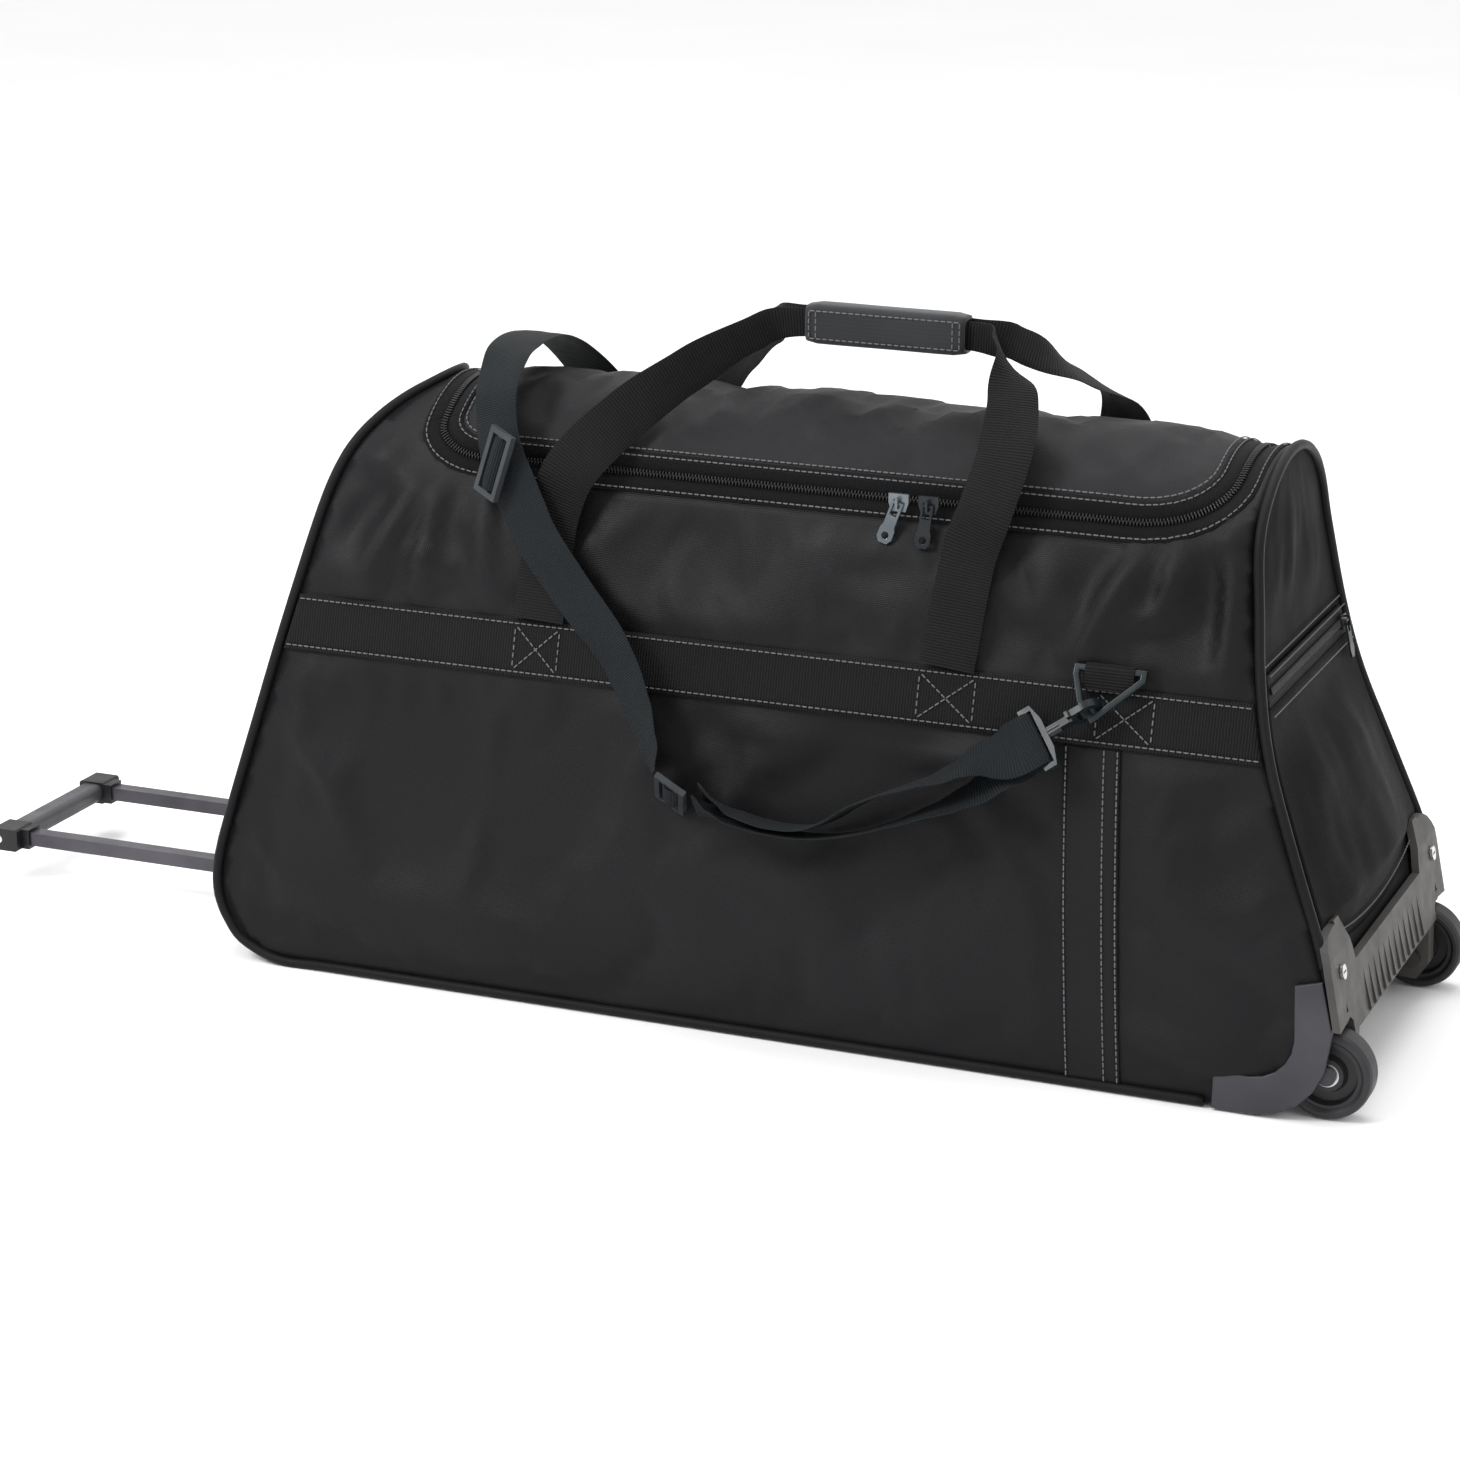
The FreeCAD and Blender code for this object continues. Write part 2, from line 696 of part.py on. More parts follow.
def tri_glide(name, centre, run, across):
    """A three-bar slide: a plate with two slots for the webbing, which weaves over its middle bar."""
    length = 24
    width = dim("webbing_width") + 10
    thickness = 4
    body = new_body(name)
    rim = 4
    bar = 2.5
    outer = [
        (-length / 2, -width / 2),
        (length / 2, -width / 2),
        (length / 2, width / 2),
        (-length / 2, width / 2),
    ]
    slots = []
    for side in (-1, 1):
        near = side * bar
        far = side * (length / 2 - rim)
        reach = width / 2 - rim
        slots.append([(near, -reach), (far, -reach), (far, reach), (near, reach)])
    pad(body, "XY_Plane", [outer] + slots, 2, thickness)
    body.Placement = frame_placement(centre, run, across)
    return body


# ---------------------------------------------------------------- D-rings and snap hooks
def half_turn(obj):
    """Moves a copy of a piece from the front to the back: a half turn about the bag's middle."""
    centre = Vector(dim("strap_middle").value, 0, 0)
    turn = Placement(Vector(), Rotation(Z_AXIS, 180), centre)
    obj.Placement = turn.multiply(obj.Placement)


RING_TILT = 31
RING_ROD = 4.4
HOOK_EYE = 28
SWIVEL_BAR = -11.2
# middle line of the ring's rod, seen along the bar's own frame: X along the bar, Y up
RING_LINE = [(-22.5, 0), (22.5, 0), (22.5, -5), (-6.5, -34.5), (-16.5, -23), (-22.5, -5)]
RING_SEAT = (RING_LINE[3], RING_LINE[4])


def ring_frame():
    bar = Vector(dim("ring_middle").value, -dim("ring_depth").value, dim("ring_height").value)
    return Placement(bar, Rotation(X_AXIS, -RING_TILT))


def hook_frame():
    """Local X runs from the swivel to the eye, local Y is the swivel bar, local Z faces off the bag."""
    frame = ring_frame()
    ends = [frame.multVec(Vector(across, 0, up)) for across, up in RING_SEAT]
    seat = (ends[0] + ends[1]) / 2
    run = Vector(33, 9, 23)
    run.normalize()
    side = Vector(-0.3, 0.5, 0.8)
    side = side - run * side.dot(run)
    side.normalize()
    return Placement(seat - run * HOOK_EYE, Rotation(run, side, run.cross(side), "XYZ"))


def offset_loop(corners, distance):
    """A convex, clockwise loop moved outwards by distance."""
    moved = []
    count = len(corners)
    for i in range(count):
        lines = []
        for j in (i - 1, i):
            start = Vector(*corners[j % count], 0)
            run = Vector(*corners[(j + 1) % count], 0) - start
            run.normalize()
            lines.append((start + Vector(-run.y, run.x, 0) * distance, run))
        (point, along), (other, across) = lines
        step = (other - point).cross(across).z / along.cross(across).z
        corner = point + along * step
        moved.append((corner.x, corner.y))
    return moved


def d_ring(name, at_back):
    """A D of rod, pulled into a corner by its hook, hung on its straight bar."""
    body = new_body(name + "_body")
    half = RING_ROD / 2
    loops = [offset_loop(RING_LINE, half), offset_loop(RING_LINE, -half)]
    ring = pad(body, "XZ_Plane", loops, -half, RING_ROD)
    fillet(body, ring, lambda edge: edge.BoundBox.YLength < 0.1, 1.2)
    body.Placement = ring_frame()
    if at_back:
        half_turn(body)
    keep(body, name)


def d_ring_tabs():
    """The webbing folds that hold the D-rings' bars, sewn under the belt."""
    tabs = []
    for name in ("front", "back"):
        body = new_body("ring_tab_" + name)
        deep = -dim("ring_depth")
        high = dim("ring_height")
        half = dim("webbing_width") / 2 - 2
        middle = dim("ring_middle")
        pad(body, "YZ_Plane", [("circle", deep, high, 4.6)], middle - half, half * 2)
        tail = [
            (deep + 0.6, high - 4),
            (deep + 3.2, high - 4),
            (deep + 3.2, dim("belt_low") + dim("webbing_width") + 0.4),
            (deep + 0.6, dim("belt_low") + dim("webbing_width") + 0.4),
        ]
        pad(body, "YZ_Plane", [tail], middle - half, half * 2)
        pocket(body, "YZ_Plane", [("circle", deep, high, 3.1)], middle - half - 1, half * 2 + 2)
        if name == "back":
            half_turn(body)
        tabs.append(body)
    keep(group("d_ring_tabs_group", tabs), "d_ring_tabs")


def snap_hook(side, at_back):
    """A snap hook: hook, sprung gate, and the swivelling loop that holds the strap."""
    frame = hook_frame()

    def finish(obj, label):
        obj.Placement = frame
        if at_back:
            half_turn(obj)
        keep(obj, label)

    half = 2.5
    eye = cylinder("eye_" + side, 11, 2 * half, (HOOK_EYE, half, 0), -Y_AXIS)
    shank = box("shank_" + side, 20, 2 * half, 8, (0, -half, -4))
    neck = cylinder("neck_" + side, 4.2, 9, (0, 0, 0), X_AXIS)
    solid = fuse("hook_solid_" + side, [eye, shank, neck])
    hole = cylinder("eye_hole_" + side, 6.5, 4 * half, (HOOK_EYE, 2 * half, 0), -Y_AXIS)
    mouth = box("mouth_" + side, 12, 4 * half, 10, (16, -2 * half, 3))
    socket = cylinder("socket_" + side, 2.4, 7.5, (-1, 0, 0), X_AXIS)
    tools = fuse("hook_tools_" + side, [hole, mouth, socket])
    finish(cut("hook_cut_" + side, solid, tools), "snap_hook_" + side)

    gate = new_body("gate_" + side)
    bar = [(16.5, 6.6), (27.6, 6.6), (27.6, 10), (20, 10), (18.5, 11.6), (16.5, 11.6)]
    pad(gate, "XZ_Plane", [bar], -2.2, 4.4)
    finish(gate, "hook_gate_" + side)

    reach = dim("webbing_width") / 2 + 4
    inside = dim("webbing_width") / 2 + 0.5
    loop = new_body("swivel_" + side)
    plate = [(-13, -reach), (-4, -reach), (-0.6, -reach + 12), (-0.6, reach - 12), (-4, reach), (-13, reach)]
    slot = [(-9.5, -inside), (-4.6, -inside), (-4.6, inside), (-9.5, inside)]
    pad(loop, "XY_Plane", [plate, slot], -2.2, 4.4)
    pad(loop, "YZ_Plane", [("circle", 0, 0, 2.1)], -2, 7.5)
    finish(loop, "hook_swivel_" + side)


# ---------------------------------------------------------------- zip sliders
SLIDER_TILT = 10


def zip_slider(name, middle):
    """A slider on the body's side of the zip, with a bridge for its pull."""
    body = new_body(name + "_body")
    deep = -(dim("zip_half_depth") + 2.2)
    low = dim("zip_middle_height")
    plate = [
        (middle - 5, low - 7),
        (middle + 5, low - 7),
        (middle + 7, low - 1),
        (middle + 7, low + 5),
        (middle - 7, low + 5),
        (middle - 7, low - 1),
    ]
    pad(body, "XZ_Plane", [plate], deep - 2.4, 2.4)
    for side in (-1, 1):
        post = low - 1 + side * 3
        bridge = [
            (deep - 5.6, post - 0.7),
            (deep - 2.2, post - 0.7),
            (deep - 2.2, post + 0.7),
            (deep - 5.6, post + 0.7),
        ]
        pad(body, "YZ_Plane", [bridge], middle - 0.8, 1.6)
    roof = [(deep - 7, low - 4.7), (deep - 5.4, low - 4.7), (deep - 5.4, low + 2.7), (deep - 7, low + 2.7)]
    pad(body, "YZ_Plane", [roof], middle - 0.8, 1.6)
    keep(body, name)


def zip_pull(name, middle, lean):
    """A pull tab that hangs on the slider's bridge, with a window at the top and a round hole below."""
    body = new_body(name + "_body")
    shape = [(-4.2, 0.8), (4.2, 0.8), (4.2, -16), (5.4, -19), (5.4, -25), (3, -28.5), (-3, -28.5), (-5.4, -25),
             (-5.4, -19), (-4.2, -16)]
    window = [(-2.5, -0.8), (2.5, -0.8), (2.5, -9), (-2.5, -9)]
    tab = pad(body, "XZ_Plane", [shape, window, ("circle", 0, -23, 2.4)], -0.8, 1.6)
    fillet(body, tab, lambda edge: edge.BoundBox.ZMin < -10, 0.5)
    deep = -(dim("zip_half_depth").value + 2.2 + 3.8)
    pivot = Vector(middle.value, deep, dim("zip_middle_height").value - 1)
    body.Placement = Placement(pivot, Rotation(Y_AXIS, lean).multiply(Rotation(X_AXIS, -SLIDER_TILT)))
    keep(body, name)


def pocket_zip():
    """The end pocket's slider and its pull, on the outside of the right end."""
    high = dim("pocket_zip_height").value
    outside = Part.makePolygon([Vector(430, 0, 364), Vector(441, 0, 280), Vector(452, 0, 231)])
    level = Part.makeLine(Vector(400, 0, high), Vector(500, 0, high))
    near = outside.distToShape(level)[1][0][0]
    seat = Placement(near + Vector(2.6, 92, 0), Rotation(Y_AXIS, -12.6))
    slider = new_body("pocket_slider_body")
    pad(slider, "YZ_Plane", [[(-7, -5), (6, -4), (6, 4), (-7, 5)]], 0, 2.4)
    for side in (-1, 1):
        pad(slider, "XY_Plane", [[(2, -0.8), (6, -0.8), (6, 0.8), (2, 0.8)]], side * 3 - 0.7, 1.4)
    pad(slider, "XY_Plane", [[(5.2, -0.8), (6.6, -0.8), (6.6, 0.8), (5.2, 0.8)]], -3.7, 7.4)
    slider.Placement = seat
    keep(slider, "pocket_slider")
    pull = new_body("pocket_pull_body")
    shape = [(-4, 0.7), (4, 0.7), (4, -16), (5.2, -20), (3, -26), (-3, -26), (-5.2, -20), (-4, -16)]
    window = [(-2.4, -0.7), (2.4, -0.7), (2.4, -8), (-2.4, -8)]
    pad(pull, "YZ_Plane", [shape, window], -0.7, 1.4)
    pull.Placement = seat.multiply(Placement(Vector(3.8, 0, 0), Rotation()))
    keep(pull, "pocket_pull")


# ---------------------------------------------------------------- trolley handle
def tube_section(width, depth, wall, side):
    """Outer and inner loops of a flat tube, drawn across the bag."""
    middle = dim("tube_offset") * side
    high = dim("tube_height")
    loops = []
    for inset in (0, wall):
        half_width = width / 2 - inset
        half_depth_ = depth / 2 - inset
        loops.append([
            (middle - half_width, high - half_depth_),
            (middle + half_width, high - half_depth_),
            (middle + half_width, high + half_depth_),
            (middle - half_width, high + half_depth_),
        ])
    return loops


def trolley():
    wall = dim("tube_wall")
    outer = []
    for side, name in ((-1, "near"), (1, "far")):
        fixed = new_body("outer_tube_" + name)
        start = dim("outer_tube_start")
        loops = tube_section(dim("outer_tube_width"), dim("outer_tube_depth"), wall, side)
        pad(fixed, "YZ_Plane", loops, start, dim("outer_tube_end") - start)
        outer.append(fixed)

        moving = new_body("inner_tube_" + name + "_body")
        start = -dim("overall_half_length") + dim("grip_width") / 2
        loops = tube_section(dim("inner_tube_width"), dim("inner_tube_depth"), wall, side)
        pad(moving, "YZ_Plane", loops, start, dim("inner_tube_end") - start)
        keep(moving, "inner_tube_" + name)
    keep(group("outer_tubes_group", outer), "outer_tubes")

    bushes = []
    for side in (-1, 1):
        bush = new_body("bush")
        inside = dim("outer_tube_width") - wall * 2 - 0.6
        tall = dim("outer_tube_depth") - wall * 2 - 0.6
        loops = tube_section(inside, tall, 0, side)[:1]
        pad(bush, "YZ_Plane", loops, dim("inner_tube_end") + 0.1, 14)
        bushes.append(bush)
    keep(group("tube_bushes_group", bushes), "tube_bushes")


def trolley_grip():
    """The cross grip: a rounded bar between two end caps, which hold the tubes' ends."""
    far_end = -dim("overall_half_length")
    high = dim("tube_height")
    half = dim("grip_length") / 2
    cap = dim("grip_cap_length")
    thick = dim("grip_thickness")
    inside = half - cap
    body = new_body("grip_bar_body")
    section = [
        (far_end + 1.5, high - thick / 2 + 1.5),
        (far_end + dim("grip_width") - 2, high - thick / 2 + 1.5),
        (far_end + dim("grip_width") - 2, high + thick / 2 - 1.5),
        (far_end + 1.5, high + thick / 2 - 1.5),
    ]
    bar = pad(body, "XZ_Plane", [section], -inside, inside * 2)
    fillet(body, bar, lambda edge: edge.Length > 50, 5)
    keep(body, "grip_bar")

    screws = []
    for side, name in ((-1, "near"), (1, "far")):
        middle = dim("tube_offset") * side
        cap_body = new_body("grip_cap_" + name + "_body")
        inner_end = inside * side
        outer_end = half * side
        low = inner_end if side > 0 else outer_end
        section = [
            (far_end, high - thick / 2),
            (far_end + dim("grip_width"), high - thick / 2),
            (far_end + dim("grip_width"), high + thick / 2),
            (far_end, high + thick / 2),
        ]
        block_ = pad(cap_body, "XZ_Plane", [section], low, cap)
        collar = [
            (middle - 8, high - 7.5),
            (middle + 8, high - 7.5),
            (middle + 8, high + 7.5),
            (middle - 8, high + 7.5),
        ]
        pad(cap_body, "YZ_Plane", [collar], far_end + dim("grip_width") - 1, 7)
        fillet(cap_body, cap_body.Tip, lambda edge: edge.BoundBox.YLength > 16.5, 2.4)
        hole = tube_section(dim("inner_tube_width"), dim("inner_tube_depth"), 0, side)[:1]
        pocket(cap_body, "YZ_Plane", hole, far_end + dim("grip_width") / 2, 30)
        seat = [("circle", far_end + dim("grip_width") / 2 - 5, high, 3)]
        edge_y = half * side
        start = edge_y - 1.4 if side > 0 else edge_y - 1
        pocket(cap_body, "XZ_Plane", seat, start, 2.4)
        keep(cap_body, "grip_cap_" + name)
        screw_y = edge_y - 1.4 if side > 0 else edge_y
        screws.append(cylinder("grip_screw_" + name, 2.9, 1.3,
                               (far_end + dim("grip_width") / 2 - 5, screw_y, high), Y_AXIS))
    keep(group("grip_screws_group", screws), "grip_screws")


def tube_mounts():
    """The bezel that the tubes leave the bag through, and the bracket that holds their far ends."""
    high = dim("tube_height")
    bezel = new_body("trolley_bezel_body")
    plate = [(-75, high - 14.5), (75, high - 14.5), (75, high + 14.5), (-75, high + 14.5)]
    holes = []
    for side in (-1, 1):
        loops = tube_section(dim("inner_tube_width") + 1.2, dim("inner_tube_depth") + 1.2, 0, side)
        holes.append(loops[0])
    front = dim("outer_tube_start") - 14
    pad(bezel, "YZ_Plane", [plate] + holes, front, 13.6)
    keep(bezel, "trolley_bezel")

    bracket = new_body("tube_bracket_body")
    plate = [(-78, 6.2), (78, 6.2), (78, high + 12), (-78, high + 12)]
    end = dim("outer_tube_end")
    pad(bracket, "YZ_Plane", [plate], end - 16, 20)
    holes = []
    for side in (-1, 1):
        holes += tube_section(dim("outer_tube_width") + 0.2, dim("outer_tube_depth") + 0.2, 0, side)[:1]
    pocket(bracket, "YZ_Plane", holes, end - 17, 17.2)
    keep(bracket, "tube_bracket")


def base():
    """The stiff board under the tubes and the floor above them."""
    board_start = -246
    board_end = HOUSING_START - 28
    keep(box("base_board_box", board_end - board_start, 286, 2.6, (board_start, -143, CLOTH + SKIN_GAP)),
         "base_board")
    floor_start = -284
    floor_end = HOUSING_START - 6
    keep(box("floor_panel_box", floor_end - floor_start, 280, 2.6, (floor_start, -140, 50)), "floor_panel")


# ---------------------------------------------------------------- wheels and their housing
AXLE_HEIGHT = dim("wheel_radius")
AXLE_PLACE = dim("overall_half_length") - dim("wheel_radius")


def wheel(side, name):
    middle = dim("wheel_offset") * side
    half = dim("wheel_width") / 2
    rim = dim("wheel_radius") - dim("tyre_depth")
    tyre = new_body("tyre_" + name + "_body")
    revolve(tyre, [
        (-half + 2, rim), (half - 2, rim), (half, rim + 2), (half, dim("wheel_radius") - 3),
        (half - 1.2, dim("wheel_radius") - 1), (half - 4, dim("wheel_radius")),
        (-half + 4, dim("wheel_radius")), (-half + 1.2, dim("wheel_radius") - 1),
        (-half, dim("wheel_radius") - 3), (-half, rim + 2),
    ])
    hub = new_body("hub_" + name + "_body")
    bore = dim("bearing_radius")
    revolve(hub, [
        (-half + 3, bore), (half - 3, bore), (half - 3, bore + 3), (3, bore + 5), (3, rim - 4),
        (half - 2.5, rim - 2.5), (half - 2.5, rim), (-half + 2.5, rim), (-half + 2.5, rim - 2.5),
        (-3, rim - 4), (-3, bore + 5), (-half + 3, bore + 3),
    ])
    bearing = new_body("bearing_" + name + "_body")
    hole = dim("axle_radius") + dim("running_clearance")
    revolve(bearing, [(-half + 3, hole), (half - 3, hole), (half - 3, bore), (-half + 3, bore)])
    for body, kind in ((tyre, "tyre_"), (hub, "hub_"), (bearing, "bearing_")):
        place(body, (AXLE_PLACE, middle, AXLE_HEIGHT))
        keep(body, kind + name)


def axles():
    """Each axle is a shouldered bolt: a domed head outside, and a nut inside the housing's arm."""
    bolts = []
    for side in (-1, 1):
        head_face = dim("wheel_offset") + dim("wheel_width") / 2 - 2.6
        arm_inside = 101
        shaft = cylinder("axle_shaft", dim("axle_radius"), head_face - arm_inside + 4,
                         (AXLE_PLACE, (arm_inside - 4) if side > 0 else -head_face, AXLE_HEIGHT), Y_AXIS)
        head = cylinder("axle_head", 6.5, 2.6,
                        (AXLE_PLACE, head_face if side > 0 else -head_face - 2.6, AXLE_HEIGHT), Y_AXIS)
        nut = cylinder("axle_nut", 6.5, 5, (AXLE_PLACE, arm_inside - 5.4 if side > 0 else -arm_inside + 0.4,
                                            AXLE_HEIGHT), Y_AXIS)
        bolts.append(fuse("axle_bolt", [shaft, head, nut]))
    keep(group("axles_group", bolts), "axles")


PLATE_INNER = [(513.2, 54), (501.9, 109), (495, 126)]
PLATE_OUTER = [(499.8, 127.6), (506.8, 110.4), (518.4, 54)]


def wheel_housing():
    """One moulding: a cross bar with two upright ears, a channel over the wheels and two axle arms."""
    body = new_body("wheel_housing_body")
    outer = dim("ear_outer")
    pad(body, "XZ_Plane", [PLATE_INNER + PLATE_OUTER], -outer, outer * 2)
    window = [
        (-dim("ear_inner") + 3, dim("bar_height")),
        (dim("ear_inner") - 3, dim("bar_height")),
        (dim("ear_inner"), dim("bar_height") + 10),
        (dim("ear_inner") + 8, dim("ear_height") - 3),
        (dim("ear_inner") + 14, dim("ear_height") + 10),
        (-dim("ear_inner") - 14, dim("ear_height") + 10),
        (-dim("ear_inner") - 8, dim("ear_height") - 3),
        (-dim("ear_inner"), dim("bar_height") + 10),
    ]
    pocket(body, "YZ_Plane", [window], 480, 60)
    bend = [(math.cos(math.radians(a)), math.sin(math.radians(a))) for a in (0, 18, 36, 54, 72, 90)]
    for side in (-1, 1):
        high = dim("ear_height")
        shoulder = [
            (outer * side + side, high - 22),
            *[((outer - 22 + 22 * c) * side, high - 22 + 22 * s) for c, s in bend],
            ((outer - 34) * side, high + 0.5),
            ((outer - 34) * side, high + 12),
            (outer * side + side, high + 12),
        ]
        pocket(body, "YZ_Plane", [shoulder], 480, 60)
        notch = [
            (118 * side, 50), (118 * side, 62), (124 * side, 66.5),
            (outer * side + side, 64), (outer * side + side, 50),
        ]
        pocket(body, "YZ_Plane", [notch], 480, 60)
        slit = [(126 * side, 71), (131 * side, 71), (128.5 * side, 77)]
        pocket(body, "YZ_Plane", [slit], 480, 60)
    hole = [("circle", dim("screw_offset") * side, dim("screw_height"), 3.2) for side in (-1, 1)]
    pocket(body, "YZ_Plane", hole, 480, 60)

    rib = [(518.2, 55), (519.6, 57), (510.3, 91), (509, 93), (508, 92.5), (516, 56)]
    count = 12
    spacing = 14
    first = pad(body, "XZ_Plane", [rib], -(count - 1) * spacing / 2 - 2, 4)
    pattern = body.newObject("PartDesign::LinearPattern", "housing_ribs")
    pattern.Originals = [first]
    pattern.Direction = (first.Profile[0], ["N_Axis"])
    pattern.Reversed = True
    pattern.Length = spacing * (count - 1)
    pattern.Occurrences = count
    body.Tip = pattern

    # the channel behind the bar: a top wall over the wheels and a wall that closes the bag's base
    top = [(466, 61.5), (514, 61.5), (513.4, 64.5), (466, 64.5)]
    pad(body, "XZ_Plane", [top], -140, 280)
    back_wall = [(463, CLOTH + 0.4), (466.2, CLOTH + 0.4), (466.2, 64.5), (463, 64.5)]
    pad(body, "XZ_Plane", [back_wall], -141, 282)
    arm = [(466, 62), (466, 40), (494, 15), (510, 14), (518, 26), (516.6, 62)]
    for side in (-1, 1):
        start = 101 if side > 0 else -117
        pad(body, "XZ_Plane", [arm], start, 16)
        pocket(body, "XZ_Plane", [("circle", AXLE_PLACE, AXLE_HEIGHT, dim("axle_radius") + 0.02)],
               start - 1, 18)
    keep(body, "wheel_housing")

    screws = []
    for side in (-1, 1):
        slope = Vector(55, 0, 11.3)
        slope.normalize()
        centre = Vector(504.4, side * dim("screw_offset").value, dim("screw_height").value)
        seat = centre + slope * 5.5
        screw = Part.makeCylinder(5, 2, seat, slope).fuse(Part.makeCylinder(2, 6, seat - slope * 4.8, slope))
        recess = Part.makeBox(1.2, 7, 1.4, Vector(0, -3.5, -0.7))
        recess.Placement = Placement(seat + slope, Rotation(X_AXIS, slope))
        screws.append(screw.cut(recess))
    feature("housing_screws", Part.makeCompound(screws))


def corner_guard(name, side):
    """An L-shaped moulding over the bag's lower right corner."""
    body = new_body(name + "_body")
    bend = [(math.cos(math.radians(a)), math.sin(math.radians(a))) for a in (-90, -72, -54, -36, -18, 0)]
    outer_round = [(462 + 47 * c, 50 + 49 * s) for c, s in bend]
    inner_round = [(458 + 28 * c, 54 + 28 * s) for c, s in reversed(bend)]
    loop = [(434, 1), *outer_round, (510.5, 62), (502, 96), (484, 91), *inner_round, (437, 26), (434, 23)]
    guard = pad(body, "XZ_Plane", [loop], 0 if side > 0 else -3, 3)
    fillet(body, guard, lambda edge: edge.BoundBox.YLength < 0.1 and edge.CenterOfMass.y * side > 2, 1)
    lean = math.degrees(math.atan2(5.6, 90))
    body.Placement = Placement(Vector(0, (BASE_HALF + SKIN_GAP + 1) * side, 0), Rotation(X_AXIS, lean * side))
    keep(body, name)


# ---------------------------------------------------------------- the whole bag
panels()
trims()
end_pocket()
handles()
grip_wrap()
shoulder_strap()
d_ring_tabs()
for place_name, is_back in (("front", False), ("back", True)):
    d_ring("d_ring_" + place_name, is_back)
    snap_hook(place_name, is_back)
zip_slider("zip_slider_left", dim("slider_left_place"))
zip_slider("zip_slider_right", dim("slider_right_place"))
zip_pull("zip_pull_left", dim("slider_left_place"), 18)
zip_pull("zip_pull_right", dim("slider_right_place"), 4)
pocket_zip()
trolley()
trolley_grip()
tube_mounts()
base()
for wheel_side, wheel_name in ((-1, "near"), (1, "far")):
    wheel(wheel_side, wheel_name)
    corner_guard("corner_guard_" + wheel_name, wheel_side)
axles()
wheel_housing()
doc.recompute()


def check_and_export():
    """Stops on any failed feature or bad shape, then writes one STEP file for each sub-part."""
    faults = [f"{o.Label}: {o.State}" for o in doc.Objects if "Invalid" in o.State or "Error" in o.State]
    for obj in PARTS:
        if obj.Shape.isNull() or not obj.Shape.isValid() or not obj.Shape.Solids:
            faults.append(f"{obj.Label}: bad shape")
    if faults:
        raise RuntimeError("; ".join(faults))
    os.makedirs("parts", exist_ok=True)
    for obj in PARTS:
        obj.Shape.exportStep(f"parts/{obj.Label}.step")
    print(len(PARTS), "parts written")


check_and_export()
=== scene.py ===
"""The looks of the rolling duffel bag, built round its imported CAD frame. Lengths are in metres."""

import json
import math

import bmesh
import bpy
from mathutils import Matrix, Vector, noise
from mathutils.geometry import delaunay_2d_cdt


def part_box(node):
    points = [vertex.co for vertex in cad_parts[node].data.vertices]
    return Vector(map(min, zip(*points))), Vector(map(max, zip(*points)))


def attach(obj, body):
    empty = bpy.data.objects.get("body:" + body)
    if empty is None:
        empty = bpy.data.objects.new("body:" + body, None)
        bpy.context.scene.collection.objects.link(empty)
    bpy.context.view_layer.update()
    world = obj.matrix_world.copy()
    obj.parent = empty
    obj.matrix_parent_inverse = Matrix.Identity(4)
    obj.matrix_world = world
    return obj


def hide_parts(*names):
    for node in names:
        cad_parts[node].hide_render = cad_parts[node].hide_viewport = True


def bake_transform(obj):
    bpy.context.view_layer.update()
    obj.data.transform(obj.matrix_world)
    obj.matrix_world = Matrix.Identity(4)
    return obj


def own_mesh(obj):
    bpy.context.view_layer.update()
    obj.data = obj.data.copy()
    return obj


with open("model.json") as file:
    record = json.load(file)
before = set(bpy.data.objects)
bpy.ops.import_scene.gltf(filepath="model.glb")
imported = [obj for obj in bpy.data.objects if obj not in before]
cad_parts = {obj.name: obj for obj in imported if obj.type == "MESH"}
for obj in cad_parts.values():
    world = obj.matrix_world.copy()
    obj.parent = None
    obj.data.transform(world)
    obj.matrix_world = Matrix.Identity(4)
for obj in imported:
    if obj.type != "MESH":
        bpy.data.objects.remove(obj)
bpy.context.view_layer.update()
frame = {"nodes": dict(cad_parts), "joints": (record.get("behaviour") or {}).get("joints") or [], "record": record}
MM = 0.001
X_AXIS = Vector((1, 0, 0))
Y_AXIS = Vector((0, 1, 0))
Z_AXIS = Vector((0, 0, 1))


# ---------------------------------------------------------------- the bag's outer form
def circle(p, q, r):
    """Centre and radius of the circle through three (across, up) points."""
    (ax, ay), (bx, by), (cx, cy) = p, q, r
    d = 2 * (ax * (by - cy) + bx * (cy - ay) + cx * (ay - by))
    a2, b2, c2 = ax * ax + ay * ay, bx * bx + by * by, cx * cx + cy * cy
    x = (a2 * (by - cy) + b2 * (cy - ay) + c2 * (ay - by)) / d
    y = (a2 * (cx - bx) + b2 * (ax - cx) + c2 * (bx - ax)) / d
    return x, y, math.hypot(ax - x, ay - y)


BASE_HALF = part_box("bottom_panel")[1].y
SHOULDER_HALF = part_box("top_gusset")[1].y
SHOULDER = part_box("top_gusset")[0].z
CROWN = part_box("top_gusset")[1].z
WAIST = (0.131, 0.178)
_, CROWN_Z, CROWN_R = circle((-SHOULDER_HALF, SHOULDER), (0, CROWN), (SHOULDER_HALF, SHOULDER))
SIDE_X, SIDE_Z, SIDE_R = circle((BASE_HALF, 0), WAIST, (SHOULDER_HALF, SHOULDER))
SHOULDER_TURN = math.atan2(SHOULDER_HALF, SHOULDER - CROWN_Z)
SHOULDER_S = CROWN_R * SHOULDER_TURN
SIDE_START = math.asin((SHOULDER - SIDE_Z) / SIDE_R)
BASE_S = SHOULDER_S + SIDE_R * (SIDE_START - math.asin(-SIDE_Z / SIDE_R))


